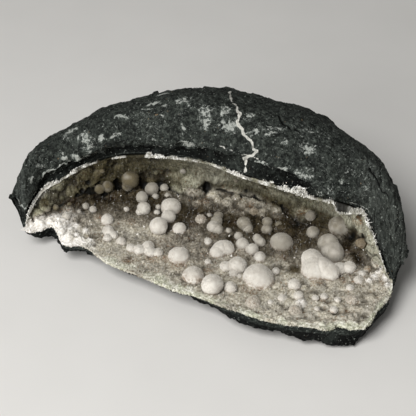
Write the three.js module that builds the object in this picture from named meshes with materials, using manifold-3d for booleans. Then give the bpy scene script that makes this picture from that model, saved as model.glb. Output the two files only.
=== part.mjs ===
// A broken basalt nodule whose hollow is lined with drusy quartz and dotted with okenite puffballs.
// Millimetres. X runs along the rock, Y from its open front to its back, Z up from its flat base.
import * as THREE from 'three';
import { mergeVertices } from 'three/addons/utils/BufferGeometryUtils.js';
import Module from 'manifold-3d';

const wasm = await Module();
wasm.setup();

// ---- Driving dimensions, in millimetres ----

const HALF_LENGTH = 95; // from the middle of the rock to either tip
const MOUTH_END = 88; // the hollow opens from -88 to 88 along X
const SEAT_GAP = 0.3; // clearance between neighbouring pieces
const CRUST_THICKNESS = 2.6;
const CRUST_EDGE_THICKNESS = 1.8;
const CRUST_ROUGHNESS = 1.1; // height of the crust's crystal lumps
const RIM_TEETH = 1.4; // length of the crystals that stand along the rim
const ROCK_ROUGHNESS = 1.3; // height of the lumps on the rock's skin
const FLOOR_SAG = 0.05; // dip of the hollow's floor, as a share of its depth
const WALL_BULGE = 0.18; // how far the back wall hollows out, as a share of its height
const BASE_DEPTH_SHARE = 0.3; // share of the rock's depth that curves up behind the flat base

// Lines that run along the rock, as positions at each station in X. The section at a station goes
// from the floor's front edge to the wall foot, the rim, the brow's outer edge, the crest, the
// widest point of the back, the flat base and the lip under the floor's front edge.
const LINES = {
  x: [-95, -92, -88, -85, -81, -74, -69, -59, -41, -21, 0, 21, 41, 57, 68, 77, 84, 88, 90.5, 95],
  edgeY: [15, 14, 5, 5, 6, 7, -5, -8, -22, -33, -45, -59, -65, -66.5, -66.5, -58.5, -49.5, -40,
    -33, -25],
  edgeZ: [25, 16, 13.5, 13, 13, 13, 13, 13, 13, 13, 13, 13, 13, 13, 13, 13, 13, 14, 17, 25],
  footY: [15, 15, 7, 11, 14, 18, 20, 24, 35.5, 36, 33.5, 29.5, 18, 12, 2, -14, -27, -36.5, -32.5,
    -25],
  footZ: [25, 17, 14.5, 14.5, 15, 15.5, 15.5, 16, 16, 16, 16, 16, 16, 16, 16, 16, 15.5, 15.3, 18,
    25],
  rimY: [15, 15, 6, 15, 21, 23.5, 25, 28.5, 29, 22.5, 14, 0.5, -6, -9.5, -9, -11, -25, -36, -32.5,
    -25],
  rimZ: [25, 18, 16, 18, 22, 27, 29.5, 34, 39.5, 44, 46.5, 47.5, 45, 41.5, 38, 33, 24, 17, 19, 25],
  browY: [15, 15, 10, 14, 21, 25, 25, 24, 26, 21.5, 13, 4, -5, -12, -11, -11.5, -21, -30, -30, -25],
  browZ: [25, 20, 20, 25, 31, 37.5, 40, 44, 51, 55, 57, 57, 54, 47.5, 44, 40, 31, 23, 21, 25],
  crestY: [15, 20, 24, 27, 29, 32, 33, 34, 35, 33, 30, 25, 20, 13, 7, 0, -8, -14, -17, -25],
  crestZ: [25, 33, 41, 43, 45, 47.5, 49.5, 54, 62, 68, 73, 72, 69, 65.5, 61.5, 59.5, 57, 52, 48, 25],
  backY: [15, 30, 38, 43, 48, 55, 58, 64, 70, 74, 75, 72, 65, 56, 46, 35, 24, 13, 6, -25],
  backZ: [25, 24, 23, 22, 22, 22, 22, 22, 22, 22, 22, 22, 22, 22, 22, 22, 23, 24, 24, 25],
  baseZ: [25, 16, 12, 9, 6, 2, 1, 0, 0, 0, 0, 0, 0, 0, 0, 2, 5, 12, 16, 25],
  lipDrop: [0, 1, 3, 5, 6, 8, 5, 3, 3, 3, 5, 6, 8, 10, 11, 6, 3, 2, 1, 0],
};

// Puffballs: [X, place on the hollow, diameter, rise]. The place runs from 0 at the floor's front
// edge to 1 at the wall foot and 2 at the rim. The rise is the height of the ball's middle over the
// crust, as a share of its diameter. Balls that have grown together are one piece.
const PUFFBALLS = {
  puff_back_dim: [[-37.4, 1.26, 8.8, 0.35], [-39.2, 1.0, 4.6, 0.35]],
  puff_back_left: [[-48.8, 1.2, 5.7, 0.35], [-52.8, 1.22, 4.7, 0.35]],
  puff_back_middle: [[-26.6, 0.96, 6.8, 0.12]],
  puff_back_small: [[-20.4, 0.97, 4.2, 0.35]],
  puff_left_upper: [[-31.4, 0.85, 6, 0.35]],
  puff_left_second: [[-30.2, 0.73, 6.6, 0.35], [-32.6, 0.7, 3, 0.35]],
  puff_left_stack: [[-16.8, 0.8, 10.3, 0], [-17.8, 0.69, 7, 0.19]],
  puff_left_round: [[-22.4, 0.55, 8.8, 0.35]],
  puff_left_low: [[-12.4, 0.6, 6.8, 0.05]],
  puff_left_bead_high: [[-48.2, 0.58, 5.9, 0.18]],
  puff_left_beads: [[-47.2, 0.41, 5.8, 0.22], [-44.6, 0.37, 4.6, 0.2], [-47.4, 0.31, 4.2, 0.2]],
  puff_left_bead_low: [[-40.6, 0.32, 5.1, 0]],
  puff_left_row: [[-35.6, 0.26, 4.6, 0.2], [-31.6, 0.26, 5.6, 0.22], [-27.2, 0.32, 5.6, 0.3],
    [-26.4, 0.27, 5.6, 0.22], [-22.4, 0.29, 5, 0.15]],
  puff_left_dome: [[-12.2, 0.32, 10.7, 0]],
  puff_front_cracked: [[-5.4, 0.16, 10.4, 0.02]],
  puff_front_edge: [[3.6, 0.1, 10, 0.35]],
  puff_front_small: [[12.2, 0.18, 5.9, 0.2]],
  puff_centre_group: [[6.8, 0.78, 4.6, 0.2], [6, 0.73, 5.8, 0.2], [4, 0.67, 5.6, 0.3],
    [6.6, 0.665, 5.5, 0.15]],
  puff_centre_pair: [[6, 0.46, 6.8, 0.07], [10.4, 0.52, 8.2, 0.06]],
  puff_centre_low: [[10, 0.35, 5.4, 0.25], [15.8, 0.38, 8.3, 0.33], [13.6, 0.32, 4.2, 0.2]],
  puff_centre_small: [[16.6, 0.65, 4.2, 0.2]],
  puff_centre_right: [[18.4, 0.59, 6.3, 0.17], [23, 0.57, 6.1, 0.1]],
  puff_centre_beads: [[27.2, 0.65, 5, 0.15], [25.6, 0.67, 4.4, 0.25]],
  puff_centre_dome: [[26.6, 0.53, 6.3, 0]],
  puff_coated_middle: [[-1.8, 0.73, 5.8, 0]],
  puff_coated_back: [[24.6, 0.88, 4.7, 0.06]],
  puff_right_back: [[19.4, 0.75, 6.6, 0.3], [21.4, 0.73, 4.9, 0.15]],
  puff_right_twin: [[30.8, 0.83, 5.3, 0.12], [30.6, 0.77, 5.3, 0.15]],
  puff_right_dome: [[37.4, 0.7, 11.5, 0]],
  puff_largest: [[25.8, 0.35, 15, 0]],
  puff_front_round: [[42.2, 0.36, 6, 0.2]],
  puff_front_lower: [[43.8, 0.27, 4.7, 0.2]],
  puff_front_flat: [[36.2, 0.23, 4.5, 0.05]],
  puff_coated_front: [[22.6, 0.13, 6.9, 0]],
  puff_coated_low: [[41.8, 0.14, 6, 0]],
  puff_right_round: [[52.8, 0.83, 6.2, 0.2]],
  puff_right_high: [[52.2, 0.96, 5.1, 0.33]],
  puff_wall_dome: [[65.8, 0.98, 10.7, 0.05]],
  puff_right_tall: [[59.8, 0.76, 9.7, 0.22], [62, 0.7, 10.6, 0.16]],
  puff_right_cluster: [[51.4, 0.6, 10.1, 0.14], [52.4, 0.52, 13.2, 0.02], [59.8, 0.51, 8.7, 0.2],
    [64.4, 0.58, 6.2, 0.18], [69, 0.62, 6.2, 0.22]],
  puff_wall_brown: [[75.6, 1.06, 6.3, 0]],
  puff_right_flat: [[72.6, 0.53, 4.7, 0]],
  puff_front_bead: [[59.6, 0.18, 4.1, 0.05]],
  puff_coated_right: [[68.4, 0.3, 5.8, 0]],
  puff_far_left: [[-68.4, 0.73, 4.5, 0.2]],
};

// ---- Looks ----

const ROCK_LOOK = { color: 0x3a3d3c, roughness: 0.9, metalness: 0 };
const CRUST_LOOK = { color: 0xb4aa9c, roughness: 0.55, metalness: 0 };
const OKENITE_LOOK = { color: 0xe8e2d8, roughness: 0.95, metalness: 0 };
const COATED_LOOK = { color: 0xc4baab, roughness: 0.7, metalness: 0 };

// ---- Sections across the rock ----

// The angle whose sine is the share of the half length, so that the ends close like a ball's.
const angleAt = (x) => Math.asin(THREE.MathUtils.clamp(x / HALF_LENGTH, -1, 1));
const STATION_ANGLES = LINES.x.map(angleAt);

// Slopes of one line at its stations, each weighted towards the nearer neighbour.
function slopesOf(values) {
  const gaps = STATION_ANGLES.slice(1).map((angle, i) => angle - STATION_ANGLES[i]);
  const rises = gaps.map((gap, i) => (values[i + 1] - values[i]) / gap);
  const inner = rises.slice(1).map((rise, i) =>
    (rises[i] * gaps[i + 1] + rise * gaps[i]) / (gaps[i] + gaps[i + 1]));
  return [rises[0], ...inner, rises.at(-1)];
}

const SLOPES = Object.fromEntries(
  Object.entries(LINES).map(([name, values]) => [name, slopesOf(values)]));

// A line's value at x, from a cubic that meets its stations with those slopes.
function along(name, x) {
  const angle = angleAt(x);
  const next = STATION_ANGLES.findIndex((station) => station > angle);
  const i = (next < 0 ? STATION_ANGLES.length - 1 : next) - 1;
  const gap = STATION_ANGLES[i + 1] - STATION_ANGLES[i];
  const t = (angle - STATION_ANGLES[i]) / gap;
  const [a, b] = [LINES[name][i], LINES[name][i + 1]];
  const [slopeA, slopeB] = [SLOPES[name][i] * gap, SLOPES[name][i + 1] * gap];
  return a + t * (slopeA + t * (3 * (b - a) - 2 * slopeA - slopeB
    + t * (slopeA + slopeB - 2 * (b - a))));
}

// The curves of the section at x. Their plane coordinates are Y and Z.
function sectionAt(x) {
  const at = Object.fromEntries(Object.keys(LINES).map((name) => [name, along(name, x)]));
  const point = (y, z) => new THREE.Vector2(y, z);
  const bezier = (a, b, c, d) => new THREE.CubicBezierCurve(a, b, c, d);
  const named = (name) => point(at[name + 'Y'], at[name + 'Z']);
  const [edge, foot, rim, brow, crest, back] =
    ['edge', 'foot', 'rim', 'brow', 'crest', 'back'].map(named);

  const sag = point(0, -FLOOR_SAG * (foot.x - edge.x));
  const floor = bezier(edge, edge.clone().lerp(foot, 1 / 3).add(sag),
    edge.clone().lerp(foot, 2 / 3).add(sag), foot);
  const wallHeight = rim.y - foot.y;
  const bulge = WALL_BULGE * wallHeight;
  const overhang = 0.45 * Math.max(foot.x - rim.x, 0);
  const wall = bezier(foot, point(foot.x + bulge, foot.y + 0.2 * wallHeight),
    point(rim.x + bulge + overhang, rim.y - 0.25 * wallHeight), rim);

  const baseZ = Math.max(at.baseZ, 0);
  const depth = back.x - edge.x;
  const lip = point(edge.x + 0.1 * at.lipDrop, Math.max(edge.y - at.lipDrop, baseZ));
  const baseFrontY = Math.min(lip.x + 1.7 * (lip.y - baseZ) + 0.08 * depth, edge.x + 0.5 * depth);
  const baseFront = point(baseFrontY, baseZ);
  const baseBack = point(Math.max(back.x - BASE_DEPTH_SHARE * depth, baseFrontY), baseZ);
  const round = 0.5523; // handle length that makes a Bezier curve a quarter of an ellipse
  const rise = crest.clone().sub(brow);
  const chinRun = 0.35 * (baseFrontY - lip.x);
  return {
    floor,
    wall,
    roof: bezier(brow, point(brow.x + 0.25 * rise.x, brow.y + 0.55 * rise.y),
      point(crest.x - 0.5 * rise.x, crest.y), crest),
    back: bezier(crest, point(crest.x + round * (back.x - crest.x), crest.y),
      point(back.x, back.y + round * (crest.y - back.y)), back),
    heel: bezier(back, point(back.x, back.y - round * (back.y - baseZ)),
      point(baseBack.x + round * (back.x - baseBack.x), baseZ), baseBack),
    base: new THREE.LineCurve(baseBack, baseFront),
    chin: bezier(baseFront, point(baseFrontY - 0.5 * (baseFrontY - lip.x), baseZ),
      point(lip.x + chinRun, lip.y - 0.35 * (lip.y - baseZ)), lip),
    lip,
    brow,
  };
}

// The crust's face at x and a place from 0 to 2, with the direction into the rock.
function facePoint(section, x, place) {
  const curve = place < 1 ? section.floor : section.wall;
  const t = place < 1 ? place : Math.min(place - 1, 1);
  const point = curve.getPoint(t);
  const tangent = curve.getTangent(t);
  return {
    point: new THREE.Vector3(x, point.x, point.y),
    inward: new THREE.Vector3(0, tangent.y, -tangent.x),
    tangent: new THREE.Vector3(0, tangent.x, tangent.y),
  };
}

// ---- Grids of sections made into closed bodies ----

const MOUTH_STEPS = 30;
const END_STEPS = [90, 92.4, 94.2, HALF_LENGTH]; // sections between the mouth's end and the tip
const FLOOR_STEPS = 10;
const WALL_STEPS = 6;

const mouthAngle = angleAt(MOUTH_END);
const MOUTH_XS = Array.from({ length: MOUTH_STEPS + 1 }, (_, i) =>
  HALF_LENGTH * Math.sin(mouthAngle * (2 * i / MOUTH_STEPS - 1)));
const ROCK_XS = [...END_STEPS.map((x) => -x).reverse(), ...MOUTH_XS, ...END_STEPS];
const PLACES = Array.from({ length: FLOOR_STEPS + WALL_STEPS + 1 }, (_, i) =>
  (i < FLOOR_STEPS ? i / FLOOR_STEPS : 1 + (i - FLOOR_STEPS) / WALL_STEPS));

// A repeatable number from 0 to 1 for two whole numbers.
function scatter(i, j) {
  const wave = Math.sin(i * 127.1 + j * 311.7) * 43758.5453;
  return wave - Math.floor(wave);
}

// Crust thickness at x: thinner at the floor's edge and the rim, and at the ends of the mouth.
function crustThickness(x, place) {
  const toEnd = THREE.MathUtils.clamp((HALF_LENGTH - Math.abs(x)) / 20, 0, 1);
  const toEdge = Math.min(1, 4 * Math.min(place, 2 - place));
  const full = THREE.MathUtils.lerp(CRUST_EDGE_THICKNESS, CRUST_THICKNESS, toEdge);
  return full * Math.sqrt(toEnd) * (place > 1 ? 0.8 : 1);
}

// A closed body from rings of points. Rings that shrink to a tip close themselves. A laddered body
// is a sheet: each end is closed by a ladder across the ring's two halves, and the second half's
// quads split along the same lines as the first half's.
function bodyFromRings(rings, laddered = false) {
  const corners = [];
  const near = (a, b) => a.distanceToSquared(b) < 1e-8;
  const face = (a, b, c) => {
    if (!near(a, b) && !near(b, c) && !near(c, a)) corners.push(a, b, c);
  };
  const quad = (a, b, c, d, turned) => {
    face(a, b, turned ? d : c);
    face(turned ? b : a, c, d);
  };
  const count = rings[0].length;
  for (let i = 0; i + 1 < rings.length; i++)
    for (let j = 0; j < count; j++) {
      const k = (j + 1) % count;
      const turned = laddered && j >= count / 2;
      quad(rings[i][j], rings[i + 1][j], rings[i + 1][k], rings[i][k], turned);
    }
  if (laddered) {
    const first = rings[0];
    const last = rings.at(-1);
    for (let j = 0; j + 1 < count / 2; j++) {
      const k = count - 1 - j;
      quad(first[j], first[j + 1], first[k - 1], first[k]);
      quad(last[j], last[k], last[k - 1], last[j + 1]);
    }
  }
  return mergeVertices(new THREE.BufferGeometry().setFromPoints(corners), 1e-4);
}

// Moves a point of the rock's skin out or in along the skin's direction.
function lump(point, previous, next, size) {
  const run = next.clone().sub(previous).normalize();
  const swell = Math.sin(point.x * 0.11 + point.z * 0.07) + Math.sin(point.y * 0.13 - point.x * 0.05)
    + Math.sin(point.z * 0.21 + point.y * 0.09 + point.x * 0.17);
  const height = size * (swell / 3 + scatter(Math.round(point.x), Math.round(point.z * 3)) - 0.5);
  return point.clone().add(new THREE.Vector3(0, -run.z, run.y).multiplyScalar(height));
}

// The rock's ring at x: the hollow that the crust lines, then the brow, skin, base and lip.
function rockRing(x) {
  const section = sectionAt(x);
  const hollow = PLACES.map((place) => {
    const { point, inward } = facePoint(section, x, place);
    const depth = crustThickness(x, place) + SEAT_GAP;
    return point.addScaledVector(inward, Math.abs(x) < HALF_LENGTH ? depth : 0);
  });
  const in3d = (p) => new THREE.Vector3(x, p.x, p.y);
  const sample = (curve, steps) => curve.getPoints(steps).slice(0, -1).map(in3d);
  const brow = in3d(section.brow);
  const skin = [
    hollow.at(-1).clone().lerp(brow, 0.5),
    ...sample(section.roof, 6),
    ...sample(section.back, 6),
    ...sample(section.heel, 4),
    ...sample(section.base, 3),
    ...sample(section.chin, 3),
    in3d(section.lip),
  ];
  const rough = 17; // rows from the brow to the heel that carry lumps
  const full = ROCK_ROUGHNESS * Math.sqrt(Math.max(0, 1 - (x / HALF_LENGTH) ** 2));
  const lumpy = skin.map((point, i) => {
    if (i === 0 || i >= rough) return point;
    const fade = i < rough - 3 ? 1 : (rough - i) / 4;
    return lump(point, skin[i - 1], skin[i + 1], full * fade);
  });
  return [...hollow, ...lumpy];
}

// The crust's ring at a mouth station: its crystal face from edge to rim, then its back.
// Raised by lift, the face marks where the balls are cut; a deeper back makes that cutter thick.
function crustRing(x, i, lift = 0, extraDepth = 0) {
  const section = sectionAt(x);
  const samples = PLACES.map((place) => facePoint(section, x, place));
  const last = PLACES.length - 1;
  const face = samples.map(({ point, inward, tangent }, j) => {
    const inside = j > 0 && j < last && i > 0 && i < MOUTH_STEPS;
    const crystal = inside ? CRUST_ROUGHNESS * (scatter(i, j) - 0.4) : 0;
    const tooth = j === last && i > 0 && i < MOUTH_STEPS ? RIM_TEETH * scatter(i, 99) : 0;
    return point.clone().addScaledVector(inward, -crystal - lift).addScaledVector(tangent, tooth);
  });
  const back = samples.map(({ point, inward }, j) =>
    point.clone().addScaledVector(inward, crustThickness(x, PLACES[j]) + extraDepth));
  return [...face, ...back.reverse()];
}

// ---- Solids for cutting and joining ----

function solidOf(geometry) {
  const bare = geometry.clone();
  bare.deleteAttribute('normal');
  bare.deleteAttribute('uv');
  const merged = mergeVertices(bare, 1e-4);
  return new wasm.Manifold(new wasm.Mesh({
    numProp: 3,
    vertProperties: merged.attributes.position.array,
    triVerts: new Uint32Array(merged.index.array),
  }));
}

function geometryOf(solid) {
  const { vertProperties, triVerts } = solid.getMesh();
  const geometry = new THREE.BufferGeometry();
  geometry.setAttribute('position', new THREE.BufferAttribute(vertProperties, 3));
  geometry.setIndex(new THREE.BufferAttribute(triVerts, 1));
  return geometry;
}

// One ball: a faceted sphere with shallow swellings, its middle at its rise over the crust.
function ballSolid([x, place, diameter, rise], seed) {
  const { point, inward } = facePoint(sectionAt(x), x, place);
  const sphere = diameter < 5.2
    ? new THREE.OctahedronGeometry(diameter / 2, 1)
    : new THREE.IcosahedronGeometry(diameter / 2, diameter > 11 ? 2 : 1);
  const position = sphere.attributes.position;
  const v = new THREE.Vector3();
  for (let i = 0; i < position.count; i++) {
    v.fromBufferAttribute(position, i);
    const [a, b, c] = v.clone().divideScalar(diameter / 2).multiplyScalar(3).toArray();
    const swell = Math.sin(a + seed) + Math.sin(b + 2 * seed) + Math.sin(c + 3 * seed);
    v.multiplyScalar(1 + 0.02 * swell);
    position.setXYZ(i, v.x, v.y, v.z);
  }
  const middle = point.addScaledVector(inward, -rise * diameter);
  return solidOf(sphere.translate(...middle.toArray()));
}

// ---- The object ----

const nodule = new THREE.Group();

function addPiece(name, geometry, look) {
  const mesh = new THREE.Mesh(geometry, new THREE.MeshStandardMaterial(look));
  mesh.name = name;
  nodule.add(mesh);
}

addPiece('basalt_matrix', bodyFromRings(ROCK_XS.map(rockRing)), ROCK_LOOK);
addPiece('quartz_crust', bodyFromRings(MOUTH_XS.map((x, i) => crustRing(x, i)), true), CRUST_LOOK);

const CUTTER_DEPTH = 12;
const crustCutter = solidOf(
  bodyFromRings(MOUTH_XS.map((x, i) => crustRing(x, i, SEAT_GAP, CUTTER_DEPTH)), true));
for (const [index, [name, balls]] of Object.entries(PUFFBALLS).entries()) {
  const joined = balls.map((ball, i) => ballSolid(ball, index + 7 * i)).reduce((a, b) => a.add(b));
  const look = name.includes('coated') || name.includes('brown') ? COATED_LOOK : OKENITE_LOOK;
  addPiece(name, geometryOf(joined.subtract(crustCutter)), look);
}

// The origin is the middle of the rock's outline at the level of its base.
const box = new THREE.Box3().setFromObject(nodule);
const middle = box.getCenter(new THREE.Vector3());
for (const mesh of nodule.children) mesh.geometry.translate(-middle.x, -middle.y, -box.min.z);

export default nodule;
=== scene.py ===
# An okenite specimen: a broken basalt nodule whose hollow is lined with drusy quartz and dotted
# with okenite puffballs. Shapes are worked out in millimetres and put into the meshes in metres.
from functools import partial

import bpy
import numpy as np
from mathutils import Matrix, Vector


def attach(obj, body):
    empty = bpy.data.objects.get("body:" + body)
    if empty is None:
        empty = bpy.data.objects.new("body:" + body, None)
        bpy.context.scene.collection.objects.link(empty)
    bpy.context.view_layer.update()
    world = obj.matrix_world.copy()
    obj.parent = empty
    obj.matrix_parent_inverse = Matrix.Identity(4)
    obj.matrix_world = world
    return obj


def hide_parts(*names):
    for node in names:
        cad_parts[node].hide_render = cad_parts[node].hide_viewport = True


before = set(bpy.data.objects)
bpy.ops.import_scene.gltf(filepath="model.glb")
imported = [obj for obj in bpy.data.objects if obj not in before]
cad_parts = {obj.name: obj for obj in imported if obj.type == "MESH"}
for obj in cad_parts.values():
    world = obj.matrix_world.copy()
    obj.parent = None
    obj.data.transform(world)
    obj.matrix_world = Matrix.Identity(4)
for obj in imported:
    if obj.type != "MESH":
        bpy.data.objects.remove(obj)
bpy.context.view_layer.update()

mm = 0.001
frameShiftY = -4.012  # the frame's origin lies under the middle of the rock's outline

halfLength = 95.0  # the rock runs from -95 to 95 along x
mouthEnd = 88.0  # the hollow opens from -88 to 88 along x
seatGap = 0.3  # clearance between the crust's back and the rock
floorSag = 0.05  # dip of the hollow's floor, as a share of its depth
wallBulge = 0.18  # how far the back wall hollows out, as a share of its height
rimOverhang = 0.45  # how much further it hollows out under a rim that stands forward
baseDepthShare = 0.3  # share of the rock's depth that curves up behind the flat base
crustThin = 1.8  # mm at the crust's borders
crustExtra = 0.8  # mm more over the rest of it
quarter = 0.5523  # handle length that makes a Bezier curve a quarter of an ellipse

# Lines that run along the rock, in mm at each station in x: the floor's front edge, the wall foot,
# the rim, the brow's outer edge, the crest, the widest point of the back, and the base.
rockLines = {
    "x": [-95, -92, -88, -85, -81, -74, -69, -59, -41, -21, 0, 21, 41, 57, 68, 77, 84, 88, 90.5, 95],
    "edgeY": [15, 14, 5, 5, 6, 7, -5, -8, -22, -33, -45, -59, -65, -66.5, -66.5, -58.5, -49.5, -40,
              -33, -25],
    "edgeZ": [25, 16, 13.5, 13, 13, 13, 13, 13, 13, 13, 13, 13, 13, 13, 13, 13, 13, 14, 17, 25],
    "footY": [15, 15, 7, 11, 14, 18, 20, 24, 35.5, 36, 33.5, 29.5, 18, 12, 2, -14, -27, -36.5,
              -32.5, -25],
    "footZ": [25, 17, 14.5, 14.5, 15, 15.5, 15.5, 16, 16, 16, 16, 16, 16, 16, 16, 16, 15.5, 15.3,
              18, 25],
    "rimY": [15, 15, 6, 15, 21, 23.5, 25, 28.5, 29, 22.5, 14, 0.5, -6, -9.5, -9, -11, -25, -36,
             -32.5, -25],
    "rimZ": [25, 18, 16, 18, 22, 27, 29.5, 34, 39.5, 44, 46.5, 47.5, 45, 41.5, 38, 33, 24, 17, 19,
             25],
    "browY": [15, 15, 10, 14, 21, 25, 25, 24, 26, 21.5, 13, 4, -5, -12, -11, -11.5, -21, -30, -30,
              -25],
    "browZ": [25, 20, 20, 25, 31, 37.5, 40, 44, 51, 55, 57, 57, 54, 47.5, 44, 40, 31, 23, 21, 25],
    "crestY": [15, 20, 24, 27, 29, 32, 33, 34, 35, 33, 30, 25, 20, 13, 7, 0, -8, -14, -17, -25],
    "crestZ": [25, 33, 41, 43, 45, 47.5, 49.5, 54, 62, 68, 73, 72, 69, 65.5, 61.5, 59.5, 57, 52,
               48, 25],
    "backY": [15, 30, 38, 43, 48, 55, 58, 64, 70, 74, 75, 72, 65, 56, 46, 35, 24, 13, 6, -25],
    "backZ": [25, 24, 23, 22, 22, 22, 22, 22, 22, 22, 22, 22, 22, 22, 22, 22, 23, 24, 24, 25],
    "baseZ": [25, 16, 12, 9, 6, 2, 1, 0, 0, 0, 0, 0, 0, 0, 0, 2, 5, 12, 16, 25],
    "lipDrop": [0, 1, 3, 5, 6, 8, 5, 3, 3, 3, 5, 6, 8, 10, 11, 6, 3, 2, 1, 0],
}
stationAngles = np.arcsin(np.array(rockLines["x"]) / halfLength)


def alongRock(name, x):
    # A line's value at x: a cubic between stations, over the angle whose sine is x / halfLength.
    # The slope at a station is its two neighbours' slopes, weighted towards the nearer one.
    values = np.array(rockLines[name], float)
    gaps = np.diff(stationAngles)
    rises = np.diff(values) / gaps
    inner = (rises[:-1] * gaps[1:] + rises[1:] * gaps[:-1]) / (gaps[:-1] + gaps[1:])
    slopes = np.concatenate([rises[:1], inner, rises[-1:]])
    angle = np.arcsin(np.clip(x / halfLength, -1, 1))
    i = np.clip(np.searchsorted(stationAngles, angle, side="right") - 1, 0, len(gaps) - 1)
    t = (angle - stationAngles[i]) / gaps[i]
    a, b = values[i], values[i + 1]
    slopeA, slopeB = slopes[i] * gaps[i], slopes[i + 1] * gaps[i]
    return a + t * (slopeA + t * (3 * (b - a) - 2 * slopeA - slopeB
                                  + t * (slopeA + slopeB - 2 * (b - a))))


def linePoint(name, x):
    # A line's y and z at x.
    return np.stack([alongRock(name + "Y", x), alongRock(name + "Z", x)], -1)


def bezier(a, b, c, d, t):
    # Cubic Bezier: four points weighted by (1-t)^3, 3t(1-t)^2, 3t^2(1-t) and t^3; its slope too.
    t = np.asarray(t)[..., None]
    s = 1 - t
    point = s**3 * a + 3 * s * s * t * b + 3 * s * t * t * c + t**3 * d
    return point, s * s * (b - a) + 2 * s * t * (c - b) + t * t * (d - c)


def pair(y, z):
    # Points of a section from their y and z.
    return np.stack(np.broadcast_arrays(y, z), -1)


def unit(vectors):
    # The vectors divided by their lengths.
    return vectors / np.maximum(np.linalg.norm(vectors, axis=-1, keepdims=True), 1e-9)


def hollowFace(x, place):
    # The hollow's face at x. The place runs from 0 at the floor's front edge to 1 at the wall foot
    # and 2 at the rim: a sagging Bezier curve for the floor, a bulging one for the wall.
    # Returns the points, the directions into the rock and the directions up the face.
    x, place = np.broadcast_arrays(np.asarray(x, float), np.asarray(place, float))
    edge, foot, rim = (linePoint(name, x) for name in ("edge", "foot", "rim"))
    sag = pair(0 * x, -floorSag * (foot[..., 0] - edge[..., 0]))
    third = (foot - edge) / 3
    floorPoint, floorSlope = bezier(edge, edge + third + sag, foot - third + sag, foot,
                                    np.clip(place, 0, 1))
    height = rim[..., 1] - foot[..., 1]
    bulge = wallBulge * height
    overhang = rimOverhang * np.maximum(foot[..., 0] - rim[..., 0], 0)
    wallPoint, wallSlope = bezier(foot, foot + pair(bulge, 0.2 * height),
                                  rim + pair(bulge + overhang, -0.25 * height), rim,
                                  np.clip(place - 1, 0, 1))
    onFloor = (place < 1)[..., None]
    point = np.where(onFloor, floorPoint, wallPoint)
    slope = unit(np.where(onFloor, floorSlope, wallSlope))
    y, z = slope[..., 0], slope[..., 1]
    return (np.stack([x, point[..., 0], point[..., 1]], -1), np.stack([0 * x, z, -y], -1),
            np.stack([0 * x, y, z], -1))


def faceOutward(x, place):
    # The direction square to the hollow's face, out of the rock: the cross product of the face's
    # slopes along x and along the place, each taken over a short step.
    x, place = np.broadcast_arrays(np.asarray(x, float), np.asarray(place, float))
    across = hollowFace(np.minimum(x + 0.2, halfLength - 1), place)[0] \
        - hollowFace(np.maximum(x - 0.2, 1 - halfLength), place)[0]
    up = hollowFace(x, place)[2]
    return unit(np.cross(across, up))


def crustThickness(x, place):
    # The crust thins towards the floor's edge and the rim, over a quarter of the floor or wall,
    # and towards the rock's ends, over 20 mm. It is a fifth thinner on the wall.
    toEnd = np.clip((halfLength - np.abs(x)) / 20, 0, 1)
    toEdge = np.minimum(1, 4 * np.minimum(place, 2 - place))
    return (crustThin + crustExtra * toEdge) * np.sqrt(toEnd) * np.where(place > 1, 0.8, 1)


def scatter(cells, seed):
    # Scrambles whole-number cells into an even spread from 0 to 1.
    mixed = cells[..., 0] * 73856093 + cells[..., 1] * 19349663 + cells[..., 2] * 83492791
    mixed = (mixed + seed * 7919) & 0x7FFFFFFF
    for _ in range(2):
        mixed = ((mixed ^ (mixed >> 15)) * 1103515245 + 12345) & 0x7FFFFFFF
    return mixed / 0x7FFFFFFF


def swell(points, size, seed):
    # Value noise from -1 to 1: a random height at each corner of a lattice of that size in mm,
    # blended with a smooth step between corners.
    scaled = points / size
    cell = np.floor(scaled).astype(np.int64)
    part = scaled - cell
    part = part * part * (3 - 2 * part)
    total = 0
    for corner in np.ndindex(2, 2, 2):
        share = np.where(np.array(corner), part, 1 - part).prod(-1)
        total = total + share * scatter(cell + np.array(corner), seed)
    return 2 * total - 1


def facets(points, size, seed):
    # Broken facets: each point takes the tilted plane of its nearest scattered centre. Returns the
    # plane's height, how far the point is from the facet's border, and a round knob over each
    # centre: the root of what is left when the squared distance is taken from a third.
    scaled = points / size
    cell = np.floor(scaled).astype(np.int64)
    nearest = np.full(points.shape[:-1], 9.0)
    second, height = nearest.copy(), 0 * nearest
    for corner in np.ndindex(3, 3, 3):
        other = cell + np.array(corner) - 1
        centre = other + np.stack([scatter(other, seed + k) for k in range(3)], -1)
        tilt = 2 * np.stack([scatter(other, seed + k) for k in (3, 4, 5)], -1) - 1
        away = scaled - centre
        distance = (away**2).sum(-1)
        closer = distance < nearest
        second = np.where(closer, nearest, np.minimum(second, distance))
        height = np.where(closer, (away * tilt).sum(-1), height)
        nearest = np.where(closer, distance, nearest)
    knob = np.sqrt(np.maximum(0.33 - nearest, 0)) / 0.57
    return height, np.sqrt(second) - np.sqrt(nearest), knob


def smooth(low, high, value):
    # 0 up to low, 1 from high on, and 3t^2 - 2t^3 between them. Low may be the larger one.
    t = np.clip((value - low) / (high - low), 0, 1)
    return t * t * (3 - 2 * t)


def swells(points, layers):
    # The sum of smooth noises, each given by its size in mm, its height in mm and its seed.
    return sum(height * swell(points, size, seed) for size, height, seed in layers)


def chips(points, layer, soft):
    # Facets of a size and a height in mm, which fade to nothing over a soft border.
    size, height, seed = layer
    chip, fromBorder, _ = facets(points, size, seed)
    return height * chip * smooth(0, soft, fromBorder)


def wandering(points, size, reach, seed):
    # The points moved about by smooth noise, so that a mark round a place gets a ragged outline.
    return points + reach * np.stack([swell(points, size, seed + k) for k in range(3)], -1)


def readTable(table, x):
    # The value at x of a table of pairs, straight between one pair and the next.
    return np.interp(x, *zip(*table))


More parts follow.
